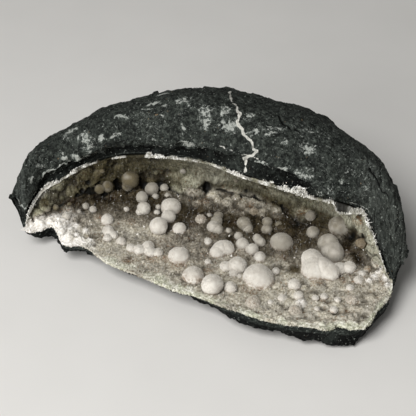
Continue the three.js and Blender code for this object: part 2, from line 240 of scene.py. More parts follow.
def faceRows(onFloor, onWall):
    # The places of a grid's rows over the hollow's face.
    return np.concatenate([np.linspace(0, 1, onFloor + 1)[:-1], 1 + np.linspace(0, 1, onWall + 1)])


def gridFaces(columns, rows, closed):
    # Quads of a grid whose point number is column * rows + row. Closed grids wrap round in rows.
    i, j = np.meshgrid(np.arange(columns - 1), np.arange(rows if closed else rows - 1),
                       indexing="ij")
    k = (j + 1) % rows
    quads = np.stack([i * rows + j, (i + 1) * rows + j, (i + 1) * rows + k, i * rows + k], -1)
    return quads.reshape(-1, 4)


def closedFaces(rings, ring):
    # A grid of closed rings, and a fan from each end ring to one of two points after the grid.
    count = rings * ring
    last = count - ring
    around = np.arange(ring)
    following = (around + 1) % ring
    return [gridFaces(rings, ring, True),
            np.stack([np.full(ring, count), around, following], -1),
            np.stack([last + around, np.full(ring, count + 1), last + following], -1)]


def makePiece(name, parts, material, nodes=()):
    # Joins parts into one mesh. A part holds its points in mm, arrays of its faces, whether it is
    # shaded smooth, and values for each point.
    counts = np.array([len(part["points"]) for part in parts])
    starts = np.concatenate([[0], np.cumsum(counts)[:-1]])
    corners, sizes, shaded = [], [], []
    for part, start in zip(parts, starts):
        for faces in part["faces"]:
            corners.append((faces + start).ravel())
            sizes.append(np.full(len(faces), faces.shape[1]))
            shaded.append(np.full(len(faces), part["smooth"]))
    corners, sizes, shaded = map(np.concatenate, (corners, sizes, shaded))
    points = np.concatenate([part["points"] for part in parts]) + [0, frameShiftY, 0]
    points[:, 2] = np.maximum(points[:, 2], 0)

    mesh = bpy.data.meshes.new(name)
    mesh.vertices.add(len(points))
    mesh.vertices.foreach_set("co", (points * mm).astype(np.float32).ravel())
    mesh.loops.add(len(corners))
    mesh.loops.foreach_set("vertex_index", corners.astype(np.int32))
    mesh.polygons.add(len(sizes))
    mesh.polygons.foreach_set("loop_start", (np.cumsum(sizes) - sizes).astype(np.int32))
    mesh.polygons.foreach_set("use_smooth", shaded)
    mesh.update(calc_edges=True)
    for key in sorted({key for part in parts for key in part.get("values", {})}):
        layer = mesh.attributes.new(key, "FLOAT", "POINT")
        values = [np.broadcast_to(part.get("values", {}).get(key, 0.0), count)
                  for part, count in zip(parts, counts)]
        layer.data.foreach_set("value", np.concatenate(values).astype(np.float32))
    mesh.materials.append(material)
    piece = bpy.data.objects.new(name, mesh)
    bpy.context.scene.collection.objects.link(piece)
    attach(piece, "root")
    if nodes:
        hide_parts(*nodes)
    print(name, len(points), "points,", int((sizes - 2).sum()), "triangles")


def crystals(bases, directions, radii, heights, sides, seed, values):
    # Pointed crystals: a ring of corners round each base, each at its own reach, and a tip along
    # the direction. The underside is closed. A crystal's points all carry its values.
    random = np.random.default_rng(seed)
    count = len(bases)
    helper = np.where(np.abs(directions[:, 2:]) < 0.8, [[0.0, 0, 1]], [[1.0, 0, 0]])
    across = unit(np.cross(helper, directions))
    over = np.cross(directions, across)
    turn = random.uniform(0, 2 * np.pi, (count, 1)) + np.arange(sides) * 2 * np.pi / sides
    reach = radii[:, None] * random.uniform(0.75, 1.1, (count, sides))
    ring = (bases[:, None] + (reach * np.cos(turn))[..., None] * across[:, None]
            + (reach * np.sin(turn))[..., None] * over[:, None])
    lean = random.normal(0, 0.12, (count, 2)) * radii[:, None]
    tips = (bases + directions * heights[:, None] + across * lean[:, :1] + over * lean[:, 1:])
    points = np.concatenate([ring, tips[:, None]], 1)
    first = np.arange(count)[:, None] * (sides + 1)
    around = np.arange(sides)
    walls = np.stack([first + around, first + (around + 1) % sides,
                      np.broadcast_to(first + sides, (count, sides))], -1)
    under = first + around[::-1]
    return {"points": points.reshape(-1, 3), "faces": [walls.reshape(-1, 3), under],
            "smooth": False,
            "values": {key: np.repeat(np.broadcast_to(value, count), sides + 1)
                       for key, value in values.items()}}


def linear(code):
    # sRGB hex to linear RGBA.
    parts = [int(code[i:i + 2], 16) / 255 for i in (1, 3, 5)]
    return [c / 12.92 if c <= 0.04045 else ((c + 0.055) / 1.055) ** 2.4 for c in parts] + [1]


# The sockets that take a node's values in order and the one that gives its result, where these
# aren't the first ones, and the settings that all nodes of a kind share.
nodeKinds = {
    "Mix": ((0, 6, 7), 2, {"data_type": "RGBA"}),
    "TexCoord": ((), "Object", {}),
    "Attribute": ((), "Fac", {}),
    "Mapping": (("Vector", "Scale"), 0, {}),
    "TexNoise": (("Vector", "Scale", "Detail", "Roughness", "Distortion"), 0, {}),
    "Bump": (("Strength", "Distance", "Height"), 0, {}),
}
# Settings of nodes that multiply two values, then add a third, or multiply two colours.
times = {"operation": "MULTIPLY"}
timesPlus = {"operation": "MULTIPLY_ADD"}
darkened = {"blend_type": "MULTIPLY"}


def addNode(tree, kind, *values, **settings):
    # Adds a node with its settings and links, and returns its result. A value is a number, a hex
    # colour or another node's result. A dictionary of values gives their sockets by name.
    sockets, result, shared = nodeKinds.get(kind, (range(5), 0, {}))
    node = tree.nodes.new("ShaderNode" + kind)
    for key, value in {**shared, **settings}.items():
        setattr(node, key, value)
    named = values and isinstance(values[0], dict)
    for socket, value in values[0].items() if named else zip(sockets, values):
        if isinstance(value, bpy.types.NodeSocket):
            tree.links.new(value, node.inputs[socket])
        else:
            node.inputs[socket].default_value = linear(value) if isinstance(value, str) else value
    return node.outputs[result] if node.outputs else None


def newMaterial(name, maskNames, patterns):
    # An empty material, the function that adds its nodes, the masks that the meshes carry, and its
    # noises. A pattern has the size of its features in mm, detail, roughness, warp, and the values
    # of the noise that become 0 and 1. Some are drawn out where a scale along x, y or z is under 1.
    material = bpy.data.materials.new(name)
    material.use_nodes = True
    material.node_tree.nodes.clear()
    add = partial(addNode, material.node_tree)
    place = add("TexCoord")
    masks = {key: add("Attribute", attribute_name=key) for key in maskNames}
    noises = {}
    for key, (size, detail, roughness, warp, low, high, *scale) in patterns.items():
        vector = add("Mapping", place, *scale) if scale else place
        noise = add("TexNoise", vector, 1 / (size * mm), detail, roughness, warp)
        noises[key] = add("MapRange", noise, low, high)
    return material, add, masks, noises


def finishMaterial(material, add, values, relief=None, strength=0.0, depthMm=0.0):
    # The finished surface, with the relief as bumps of a depth in mm.
    if relief:
        values["Normal"] = add("Bump", strength, depthMm * mm, relief)
    add("OutputMaterial", add("BsdfPrincipled", values))
    return material


def basaltMaterial():
    # Weathered basalt with a fine grain: matte charcoal, gritty and pitted, with chalky scuffs,
    # cracks darkened with painted shade and one white quartz vein. The brow is a fresh break,
    # darker than the skin, and painted shade darkens it more, as it does the rock under the lip.
    material, add, masks, noises = newMaterial(
        "weatheredBasalt", ("scuff", "vein", "crack", "brow", "grooved"), {
            "patches": (9, 5, 0.5, 0, 0.35, 0.65),
            "mottle": (2.4, 5, 0.65, 0, 0.4, 0.6),
            "fine": (0.9, 2, 0.5, 0, 0.36, 0.64),  # basalt grains are finer; this is what shows
            "grooves": (1.6, 4, 0.6, 1.2, 0.35, 0.65, (1, 0.2, 0.2)),
            "waves": (8, 5, 0.6, 0, 0, 1),
            "gaps": (14, 2, 0.5, 0, 0.48, 0.6),
            "grey": (6, 4, 0.6, 0, 0.5, 0.7),
            "speckles": (1.0, 2, 0.5, 0, 0.66, 0.69),
            "rusty": (1.9, 2, 0.5, 0, 0.74, 0.755),
            "ragged": (1.6, 8, 0.72, 0, 0.32, 0.68),
            "wander": (1.3, 3, 0.5, 0, 0.2, 0.8),
        })
    mottle, fine, grooves = noises["mottle"], noises["fine"], noises["grooves"]
    colour = add("Mix", noises["patches"], "#1a1d1b", "#2c2f2c")
    colour = add("Mix", mottle, add("Mix", fine, "#131514", colour),
                 add("Mix", fine, "#2a2e2b", "#50554f"))
    dips = add("Math", add("Math", 1.0, grooves, operation="SUBTRACT"), masks["grooved"], **times)
    colour = add("Mix", dips, colour, "#0e100e")
    ridges = add("Math", add("Math", grooves, 0.35, **times), masks["grooved"], **times)
    colour = add("Mix", ridges, colour, "#6c716b")
    # Fine pale hairlines with gaps, where a noise crosses its middle value.
    waves = add("Math", noises["waves"], 0.5, operation="SUBTRACT")
    lines = add("MapRange", add("Math", waves, operation="ABSOLUTE"), 0.002, 0.011, 0.55, 0)
    colour = add("Mix", add("Math", lines, noises["gaps"], **times), colour, "#7c817b")
    # Fresh break with painted shade, for the brow and under the lip.
    freshBreakAndShade = add("Mix", mottle, "#030303", add("Mix", fine, "#070807", "#131613"))
    freshBreakAndShade = add("Mix", noises["grey"], freshBreakAndShade, "#2a2e2b")
    colour = add("Mix", masks["brow"], colour, freshBreakAndShade)
    # White speckles and fewer rusty ones.
    colour = add("Mix", add("Math", noises["speckles"], 0.75, **times), colour, "#8f948d")
    colour = add("Mix", add("Math", noises["rusty"], 0.7, **times), colour, "#786750")
    # Scuffs: each soft patch only lowers the bar that a ragged grain has to pass.
    chalk = add("Math", masks["scuff"], 0.66, noises["ragged"], **timesPlus)
    for low, high, share, tone in ((0.84, 0.93, 0.65, "#666b66"), (1.0, 1.12, 0.85, "#b9bcb5")):
        past = add("MapRange", chalk, low, high)
        colour = add("Mix", add("Math", past, share, **times), colour, tone)
    vein = add("Math", noises["wander"], 0.55, masks["vein"], **timesPlus)
    white = add("Mix", noises["wander"], "#b9b8ae", "#e9e7df")
    colour = add("Mix", add("MapRange", vein, 0.25, 0.4), colour, white)
    # Cracks painted near black, as shade in them.
    colour = add("Mix", add("MapRange", masks["crack"], -0.3, 0.15), colour, "#050605")
    relief = add("Math", fine, 0.5, mottle, **timesPlus)
    values = {"Base Color": colour, "Roughness": add("MapRange", fine, 0, 1, 0.6, 0.95),
              "IOR": 1.5, "Specular IOR Level": 0.12}
    return finishMaterial(material, add, values, relief, 1.0, 0.6)


def druseMaterial(name, crystal):
    # Drusy quartz over basalt: a sparkling grey-beige skin of tiny points, cream and faintly green
    # where it is broken along the front edge, olive on the wall, white along the rim, dusted with
    # brown iron, and darkened by painted shade and grime in its hollows, with painted shade in its
    # low places, pockets and crease.
    material, add, masks, noises = newMaterial(
        name, ("wall", "rim", "edge", "frost", "rust", "dark", "deep", "low", "pale", "tone"), {
            "clouds": (5, 5, 0.6, 0, 0.38, 0.62),
            "grit": (1.1, 3, 0.5, 0, 0.38, 0.62),
            "fibres": (0.9, 3, 0.5, 0, 0.35, 0.65, (1, 1, 0.22)),
            "specks": (0.9, 3, 0.6, 0, 0.53, 0.57),
            "strewn": (1.0, 3, 0.6, 0, 0.6, 0.64),
            "gaps": (9, 2, 0.5, 0, 0.42, 0.56),
            "crumbs": (1.3, 3, 0.65, 0, 0.53, 0.6),
        })

    def tones(fine, a, b, c, d):
        # Two pairs of colours: the fine pattern mixes each pair, and the clouds mix the two.
        return add("Mix", noises["clouds"], add("Mix", fine, a, b), add("Mix", fine, c, d))

    grit, fibres = noises["grit"], noises["fibres"]
    colour = add("Mix", masks["pale"], tones(grit, "#5e574a", "#8f887a", "#898173", "#b9b2a4"),
                 tones(grit, "#8b867a", "#bdb8ab", "#a9a18d", "#dcd6c6"))
    wall = add("Mix", masks["pale"], tones(fibres, "#686750", "#afae96", "#8a866f", "#ccc9b1"),
               tones(fibres, "#727063", "#aaa898", "#8a8778", "#c2c0ae"))
    colour = add("Mix", masks["wall"], colour, wall)
    # Low places between the lumps are darkened with painted shade.
    colour = add("Mix", add("Math", masks["low"], 0.8, **times), colour, "#3a3327")
    # Brown dust: specks in the rusty patches, and sparser specks everywhere.
    sparse = add("Math", noises["strewn"], noises["gaps"], **times)
    dusted = add("Math", masks["rust"], noises["specks"], sparse, use_clamp=True, **timesPlus)
    colour = add("Mix", add("Math", masks["rust"], 0.14, **times), colour, "#8f7656")
    colour = add("Mix", add("Math", dusted, 0.8, **times), colour, "#795430")
    # Painted shade and grime under the brow's shelter, by the deep mask, with dark crumbs of dirt.
    crumbs = add("Math", masks["deep"], noises["crumbs"], **times)
    shadedAndGrimy = add("Mix", 1.0, colour, "#736b58", **darkened)
    shadedAndGrimy = add("Mix", add("Math", crumbs, 0.55, **times), shadedAndGrimy, "#241b0e")
    colour = add("Mix", masks["deep"], colour, shadedAndGrimy)
    # In the pockets and along the crease, the dark mask's near black is painted shade.
    for key, finish in (("edge", tones(grit, "#9b9c84", "#d9d8c4", "#b3af9d", "#ebe9df")),
                        ("frost", add("Mix", grit, "#d8d2c8", "#f6f3ee")),
                        ("rim", add("Mix", grit, "#b5b1a6", "#f2f1ec")), ("dark", "#080804")):
        colour = add("Mix", masks[key], colour, finish)
    if crystal:
        glassy = add("MapRange", masks["tone"], 0, 1, 0.6, 1.25)
        colour = add("Mix", 1.0, colour, glassy, **darkened)
    relief = add("Math", fibres, masks["wall"], grit, **timesPlus)
    values = {"Base Color": colour, "Roughness": 0.25 if crystal else 0.6, "IOR": 1.54,
              "Specular IOR Level": 0.5 if crystal else 0.2}
    return finishMaterial(material, add, values, relief, 0.5, 0.2)


def okeniteMaterial():
    # Okenite: balls of dense silky fibres, cream white and soft as velvet to the eye.
    material, add, masks, noises = newMaterial("okeniteVelvet", ("tone", "foot", "deep"), {
        "clouds": (2.5, 4, 0.5, 0, 0.3, 0.7),
        "stain": (1.5, 3, 0.5, 0, 0.4, 0.6),
        "tufts": (0.35, 2, 0.5, 0, 0.3, 0.7),
    })
    colour = add("Mix", noises["clouds"], "#dad4ca", "#eeeae2")
    shade = add("MapRange", masks["tone"], 0, 1, 0.88, 1.06)
    colour = add("Mix", 1.0, colour, shade, **darkened)
    colour = add("Mix", add("Math", masks["foot"], noises["stain"], **times), colour, "#a5917b")
    # Painted shade and grime: the deep mask darkens balls deep in the hollow, and their tops.
    colour = add("Mix", masks["deep"], colour, add("Mix", 1.0, colour, "#7a725b", **darkened))
    values = {"Base Color": colour, "Roughness": 0.92, "IOR": 1.53, "Specular IOR Level": 0.2,
              "Sheen Weight": 0.25, "Sheen Roughness": 0.5}
    return finishMaterial(material, add, values, noises["tufts"], 0.35, 0.12)


def coatedMaterial():
    # Okenite balls under a thin coat of quartz grains and brown dust: greyer and grittier.
    material, add, masks, noises = newMaterial("dustedOkenite", ("tone", "deep"), {
        "clouds": (3, 4, 0.5, 0, 0.3, 0.7),
        "grit": (0.7, 3, 0.5, 0, 0.35, 0.65),
        "dust": (1.2, 3, 0.5, 0, 0.58, 0.66),
    })
    clouds, grit = noises["clouds"], noises["grit"]
    colour = add("Mix", grit, add("Mix", clouds, "#a29a8d", "#b9b1a4"),
                 add("Mix", clouds, "#bdb5a8", "#d5cec2"))
    shade = add("MapRange", masks["tone"], 0, 1, 0.8, 1.2)
    colour = add("Mix", 1.0, colour, shade, **darkened)
    colour = add("Mix", add("Math", noises["dust"], 0.4, **times), colour, "#7d5c3c")
    # Painted shade and grime: the deep mask darkens balls deep in the hollow, and their tops.
    colour = add("Mix", masks["deep"], colour, add("Mix", 1.0, colour, "#a69c88", **darkened))
    values = {"Base Color": colour, "Roughness": 0.6, "IOR": 1.54}
    return finishMaterial(material, add, values, grit, 0.5, 0.15)


def boardMaterial():
    # Matte painted board: pale, with barely any mottle.
    material, add, _, noises = newMaterial("mattePaintedBoard", (),
                                           {"mottle": (40, 2, 0.5, 0, 0.2, 0.8)})
    colour = add("Mix", noises["mottle"], "#dad8d4", "#dedcd8")
    return finishMaterial(material, add, {"Base Color": colour, "Roughness": 0.85})


basalt = basaltMaterial()
druse = druseMaterial("drusyQuartz", False)
quartzPoints = druseMaterial("quartzPoints", True)
okenite = okeniteMaterial()
dustedOkenite = coatedMaterial()

# The basalt rock: the points of its grid along and around it, and the sizes of its relief.
rock = {
    "columns": 428,
    "rows": {"floor": 8, "wall": 6, "brow": 26, "roof": 60, "back": 56, "heel": 26, "base": 6,
             "chin": 20, "lip": 6},
    "lumps": [(28, 1.2, 1), (10, 0.6, 2), (4, 0.4, 3), (1.8, 0.28, 4)],  # size, height in mm, seed
    "chips": [(14, 1.5, 11), (5.5, 0.7, 12)],  # facets over the whole skin
    "browChips": (4.0, 1.5, 23),
    "ledge": 1.5,  # how far the brow lies back under the ledge at its top
    "ledgeEdge": [(12, 3.2, 71), (2.6, 1.1, 72), (1.1, 0.4, 73)],  # how far the ledge wanders
    "creases": [(9, 0.5, 25), (4, 0.3, 26)],  # size, depth in mm, seed
    "grooves": 0.4,  # depth of the drawn-out grooves at the right end
    "crackDepth": 1.3,
    "backScuffs": 70,
    "backRelief": 1.8,  # how much rougher the back is than the front
}

# Marks on the skin, at x and a place that is 0 at the rim, 1 at the brow's edge, 2 at the crest
# and 3 at the widest point of the back. The last number of a vein or crack is its width in mm.
veins = [
    ([(13.6, 2.3), (12.8, 2.19), (12.2, 2.08), (13.1, 2.02), (15, 1.98), (15.6, 1.82), (16.9, 1.78),
      (16.2, 1.7), (15.3, 1.6), (16.6, 1.52), (17.8, 1.47), (18.7, 1.38), (20.6, 1.33),
      (22.5, 1.26), (23.7, 1.19), (24.9, 1.15), (24, 1.1), (22.8, 1.07), (20.9, 1.04),
      (18.7, 0.94), (18.8, 0.8), (19, 0.55), (19.2, 0.25)], 1.65),
    ([(22.8, 1.06), (25.8, 1.04), (28.9, 1.03), (32.2, 0.91)], 0.6),
    ([(6.2, 1.08), (12.2, 1.06), (17.2, 1.03), (22, 1.05)], 0.5),
]
cracks = [
    ([(76.5, 1.68), (80.1, 1.58), (82.8, 1.52), (86.1, 1.62)], 1.0),
    ([(34.3, 1.98), (36.2, 1.87), (40.1, 1.82), (45.4, 1.81)], 1.0),
]
# The brow's top: x, and a place that is 1 at the brow's edge.
ledge = [(-88, 1), (-82, 0.85), (-79, 1), (-72, 0.86), (-60, 0.95), (-55, 0.8), (-50.6, 0.5),
         (-48.8, 0.58), (-41, 0.46), (-34, 0.42), (-30, 0.66), (-26, 0.7), (-17, 0.72),
         (-12, 0.62), (-9.6, 0.56), (-4.6, 0.6), (0, 0.9), (7, 1.02), (16, 1.0), (27, 1.02),
         (32, 0.93), (39.5, 1.02), (44, 0.93), (49, 1.03), (51.2, 0.6), (53.5, 0.1), (59, 0),
         (66, 0.05), (70, 0.3), (77, 0.2), (80, 0), (84, -0.3), (88, -0.5)]
# How dark the brow is at each x: its fresh break, and painted shade.
browShade = [(-88, 0.6), (-76, 0.8), (-70, 1), (-60, 1), (-54, 0.8), (-30, 0.95), (0, 1), (7, 1),
             (10.5, 0.4), (20, 0.35), (24, 0.8), (28, 0.85), (36, 1), (48, 0.9), (54, 0.35),
             (62, 0.3), (88, 0.3)]
# Scuffs: x, place, width and height in mm, strength.
scuffs = [
    (-26, 2.05, 7.7, 1.7, 1.35), (-20, 1.97, 4.48, 2.3, 1.35), (-11, 2, 8.85, 2.3, 1.35),
    (-7, 1.88, 3.4, 1.7, 1.1), (-29, 1.88, 4.8, 1.7, 1.1), (-41, 1.8, 6.7, 2.3, 1.1),
    (-20, 1.6, 2.9, 2.8, 1.1), (0, 1.71, 5.8, 6.8, 0.95), (0, 1.47, 6.7, 4.5, 0.9),
    (9, 1.75, 6.7, 4.5, 1.1), (12, 1.48, 8.7, 4.5, 1.1), (-11, 1.26, 1.9, 4.5, 1.3),
    (-9, 1, 5.8, 2.8, 1.3), (-67, 2.05, 8.7, 2.8, 1.25), (-69, 1.93, 2.4, 4, 0.9),
    (-61, 1.64, 1.9, 2.3, 1.1), (-57, 1.43, 3.9, 6.2, 1), (-51, 1.34, 4.3, 4.5, 0.9),
    (-58, 1.18, 3.9, 1.7, 1.2), (-69, 1.1, 3.9, 2.8, 1.1), (-63, 1.05, 4.3, 2.3, 1.1),
    (-44, 1.2, 6.7, 2.3, 1), (-29, 1.07, 2.9, 1.7, 1.1), (-23, 1.02, 2.4, 1.7, 1.1),
    (-20, 2.21, 8.85, 1.7, 1.35), (-5, 2.04, 6.67, 1.1, 1.35), (48, 1.54, 6.7, 5.1, 1.05),
    (38, 1.49, 3.4, 2.8, 1), (24, 1.48, 7.7, 2.3, 0.9), (32, 1.58, 6.7, 1.7, 0.9),
    (29, 1.63, 3.9, 1.7, 0.9), (19, 1.78, 3.9, 2.3, 0.9), (49, 1.9, 4.8, 1.7, 1),
    (44, 1.66, 3.9, 1.1, 0.9), (48, 1.15, 7.7, 4, 0.85), (43, 1.09, 4.8, 2.8, 0.85),
    (37, 1.05, 5.8, 1.7, 1.2), (60, 1.25, 1.4, 1.7, 1.2), (65, 1.27, 1.9, 1.7, 1.2),
    (54, 1.02, 4.3, 1.7, 0.85), (89, 1.65, 1.4, 2.8, 1), (54, 0.65, 4.8, 2.8, 0.9),
    (-81, 1.37, 4.8, 2.3, 0.9), (-85, 1.36, 3.9, 2.8, 0.9), (-89, 1.12, 2.9, 2.3, 1.1),
    (68, 1.49, 2.9, 1.7, 0.8), (75, 1.26, 2.4, 2.3, 1), (39.5, 1.76, 6, 1.5, 1),
    (51, 1.9, 6, 1.5, 1), (57, 1.96, 5, 1.5, 0.9), (21.5, 1.78, 5, 3, 1), (33.5, 1.7, 7, 1.6, 1),
    (27, 1, 3.4, 2.4, 1.1), (-24, 2.06, 10.35, 1.3, 1.35), (-9.3, 0.96, 6, 1.5, 1),
    (-29, 2.12, 9.2, 1.2, 1.35), (52, 1.85, 22, 9, 0.35), (66, 1.9, 14, 10, 0.35),
    (75, 1.6, 10, 10, 0.3), (-30, 1.5, 16, 8, 0.25), (11, 1.04, 11, 1.1, 0.8),
    (59, 1.0, 12, 8, 0.45), (10.4, 1.83, 4.4, 4, 1), (49, 1.88, 5, 2.2, 1.1),
]


def roofCurve(brow, crest, t):
    # From the brow's edge to the crest: it leaves steeply and arrives level.
    rise = crest - brow
    return bezier(brow, brow + rise * [0.25, 0.55],
                  pair(crest[..., 0] - 0.5 * rise[..., 0], crest[..., 1]), crest, t)[0]


def backCurve(crest, back, t):
    # A quarter of an ellipse from the crest to the widest point of the back.
    return bezier(crest, crest + pair(quarter * (back - crest)[..., 0], 0),
                  back + pair(0, quarter * (crest - back)[..., 1]), back, t)[0]


def rockSection(x, rows):
    # Each column is the closed section of the rock at x: the hollow under the crust, a straight
    # brow, Bezier curves for roof, back and heel, the flat base, a Bezier chin and the lip.
    # Returns the points and the zone of each row, whose whole part numbers the curve.
    x = np.asarray(x, float)[:, None]
    edge, foot, rim, brow, crest, back = (
        linePoint(name, x) for name in ("edge", "foot", "rim", "brow", "crest", "back"))
    baseZ = np.maximum(alongRock("baseZ", x), 0)
    drop = alongRock("lipDrop", x)
    lip = pair(edge[..., 0] + 0.1 * drop, np.maximum(edge[..., 1] - drop, baseZ))
    depth = back[..., 0] - edge[..., 0]
    baseFrontY = np.minimum(lip[..., 0] + 1.7 * (lip[..., 1] - baseZ) + 0.08 * depth,
                            edge[..., 0] + 0.5 * depth)
    baseFront = pair(baseFrontY, baseZ)
    baseBack = pair(np.maximum(back[..., 0] - baseDepthShare * depth, baseFrontY), baseZ)
    place = faceRows(rows["floor"], rows["wall"])
    face, inward, _ = hollowFace(x, place[None])
    gap = (crustThickness(x, place[None]) + seatGap) * (np.abs(x) < halfLength)
    hollow = (face + inward * gap[..., None])[..., 1:]
    step = {name: np.linspace(0, 1, count + 1)[:-1][None] for name, count in rows.items()}
    run = baseFrontY - lip[..., 0]
    curves = [
        (hollow[:, -1:] + (brow - hollow[:, -1:]) * step["brow"][..., None])[:, 1:],
        roofCurve(brow, crest, step["roof"]),
        backCurve(crest, back, step["back"]),
        bezier(back, back - pair(0, quarter * (back[..., 1] - baseZ)),
               baseBack + pair(quarter * (back - baseBack)[..., 0], 0), baseBack,
               step["heel"])[0],
        baseBack + (baseFront - baseBack) * step["base"][..., None],
        bezier(baseFront, baseFront - pair(0.5 * run, 0),
               lip + pair(0.35 * run, -0.35 * (lip[..., 1] - baseZ)), lip, step["chin"])[0],
        lip + (hollow[:, :1] - lip) * step["lip"][..., None],
    ]
    zones = [number + step[name][0] for number, name in
             enumerate(("brow", "roof", "back", "heel", "base", "chin", "lip"), 1)]
    plane = np.concatenate([hollow, *curves], 1)
    full = np.broadcast_to(x[..., None], plane.shape[:2] + (1,))
    return (np.concatenate([full, plane], -1),
            np.concatenate([0 * place, zones[0][1:], *zones[1:]]))


def skinPoint(x, place):
    # A point of the skin at x and a place from 0 to 3, on the same brow, roof and back curves.
    rim, brow, crest, back = (linePoint(name, x) for name in ("rim", "brow", "crest", "back"))
    onBrow = rim + (brow - rim) * np.clip(place, 0, 1)[..., None]
    plane = np.where((place < 2)[..., None], roofCurve(brow, crest, np.clip(place - 1, 0, 1)),
                     backCurve(crest, back, np.clip(place - 2, 0, 1)))
    plane = np.where((place < 1)[..., None], onBrow, plane)
    return np.concatenate([np.asarray(x)[..., None], plane], -1)


def lineMask(points, line, width, wiggle, seed):
    # How far each point lies inside a line on the skin, in mm: half the width less the distance
    # to the nearest of the line's closely spaced, slightly wandering points. It tapers at the end.
    path = np.array(line, float)
    t = np.linspace(0, len(path) - 1, 40 * len(path))
    x, place = (np.interp(t, np.arange(len(path)), path[:, k]) for k in (0, 1))
    spots = wandering(skinPoint(x, place), 2.2, wiggle, seed)
    half = 0.5 * width * (0.85 + 0.38 * swell(spots, 3.5, seed + 9)) \
        * np.clip(4 * np.minimum(t + 0.3, len(path) - 1 - t + 0.1), 0, 1)
    near = np.abs(points - spots.mean(0)).max(-1) < np.ptp(spots, 0).max() / 2 + 6
    inside = np.full(points.shape[:-1], -3.0)
    away = np.linalg.norm(points[near][:, None] - spots, axis=-1)
    inside[near] = np.maximum((half - away).max(-1), -3)
    return inside


def aboveLedge(points, zone):
    # How far each point of the brow or roof is above the ledge, in mm along the skin.
    x = points[:, :1, 0]
    rim, brow, crest = (linePoint(name, x) for name in ("rim", "brow", "crest"))
    browLength = np.linalg.norm(brow - rim, axis=-1)
    roofLength = 1.1 * np.linalg.norm(crest - brow, axis=-1)  # a tenth more for its curve
    top = readTable(ledge, x) - 1
    above = (zone - 2)[None] * np.where(zone < 2, browLength, roofLength) \
        - top * np.where(top < 0, browLength, roofLength)
    return above + swells(points, rock["ledgeEdge"])


def rockRelief(points, zone, grooved):
    # The height of the skin over its plain shape, in mm: lumps, creases where a bent noise crosses
    # zero, facets, smaller ones on the brow, chin and lip, and grooves drawn out across the rock.
    height = swells(points, rock["lumps"])
    bent = points + 1.5 * swell(points, 5, 27)[..., None]
    for size, depth, seed in rock["creases"]:
        folds = np.abs(swell(bent, size, seed))
        height = height - depth * smooth(0.14, 0, folds) * smooth(-0.3, 0.4, swell(points, 16, 28))
    for layer in rock["chips"]:
        height = height + chips(points, layer, 0.1)
    browShare = smooth(1.0, 1.15, zone) * (1 - smooth(1.8, 2.02, zone))
    height = height + chips(points, rock["browChips"], 0.1) * (browShare + (zone > 6))
    drawn = wandering(points, 8, 2.5, 33) * [1, 0.14, 0.14]
    return height + rock["grooves"] * grooved * (swell(drawn, 1.4, 32) + swell(drawn, 3, 36))


def scuffShare(points):
    # How scuffed the skin is: the strongest of soft-edged ovals, more of them strewn over the
    # back. The points wander first, which makes the ovals ragged.
    random = np.random.default_rng(29)
    behind = random.uniform([-80, 2.3, 2, 1.5, 0.5], [84, 3.0, 8, 4, 0.95], (rock["backScuffs"], 5))
    wandered = wandering(wandering(points, 6, 1.7, 51), 1.8, 1.0, 54)
    share = np.zeros(points.shape[:2])
    for x, place, width, tall, strength in scuffs + behind.tolist():
        off = wandered - skinPoint(np.array(x, float), np.array(place, float))
        reach = np.sqrt((off[..., 0] / (0.75 * width))**2
                        + (off[..., 1]**2 + off[..., 2]**2) / (0.9 * tall)**2)
        share = np.maximum(share, strength * (1 - smooth(0.15, 1.35, reach)))
    return share


def makeRock():
    # The plain skin is pushed out by its relief, and in along cracks and under the ledge.
    angle = np.linspace(-np.pi / 2, np.pi / 2, rock["columns"])
    points, zone = rockSection(halfLength * np.sin(angle), rock["rows"])
    columns, ring = points.shape[:2]
    # The outward direction is square to the grid's two directions.
    outward = unit(np.cross(np.gradient(points, axis=0),
                            np.roll(points, -1, 1) - np.roll(points, 1, 1)))
    grooved = smooth(66, 80, points[..., 0] + 5 * swell(points, 9, 31)) \
        + 0.7 * smooth(-80, -90, points[..., 0])
    vein, crack = (np.max([lineMask(points, line, width, wiggle, seed + i)
                           for i, (line, width) in enumerate(lines)], 0)
                   for lines, wiggle, seed in ((veins, 0.5, 40), (cracks, 0.6, 60)))
    above = aboveLedge(points, zone)
    under = smooth(0.35, -0.35, above) * smooth(1.0, 1.03, zone)
    # Relief: none in the hollow, on the base and at both ends, and more at the back.
    back = rock["backRelief"]
    share = np.interp(zone, [0, 1, 1.12, 3.5, 3.9, 4, 4.6, 5, 6, 6.25, 7.4, 8],
                      [0, 0, 1, 1, back, back, 0.9, 0, 0, 0.8, 0.8, 0])
    share = share * np.sqrt(np.maximum(0, np.cos(angle)))[:, None] ** 0.7
    height = rockRelief(points, zone, grooved) * share
    height = height - rock["crackDepth"] * smooth(-0.5, 0.4, crack)
    height = height - rock["ledge"] * under * smooth(1.02, 1.2, zone)
    body = (points + outward * height[..., None])[1:-1].reshape(-1, 3)

    # Scuffs stop under the ledge, and its broken edge gets a pale painted highlight. Fresh rock
    # and painted shade show there, and painted shade below the lip.
    broken = (1 - smooth(0.3, 1.0, np.abs(above - 0.5))) * smooth(-0.2, 0.3, swell(points, 6, 74))
    scuff = np.maximum(scuffShare(points) * (1 - under), 1.1 * broken * (zone > 1.1))
    freshBreakAndShade = np.maximum(under * readTable(browShade, points[:, :1, 0]),
                       smooth(5.4, 6.2, zone + 0.3 * swell(points, 5, 75)))
    masks = {"vein": vein, "crack": crack, "scuff": scuff, "brow": freshBreakAndShade, "grooved": grooved}
    part = {"points": np.concatenate([body, points[[0, -1], 0]]),
            "faces": closedFaces(columns - 2, ring), "smooth": True,
            "values": {key: np.concatenate([mask[1:-1].ravel(), [0, 0]])
                       for key, mask in masks.items()}}
    makePiece("basaltRock", [part], basalt, ["basalt_matrix"])


makeRock()

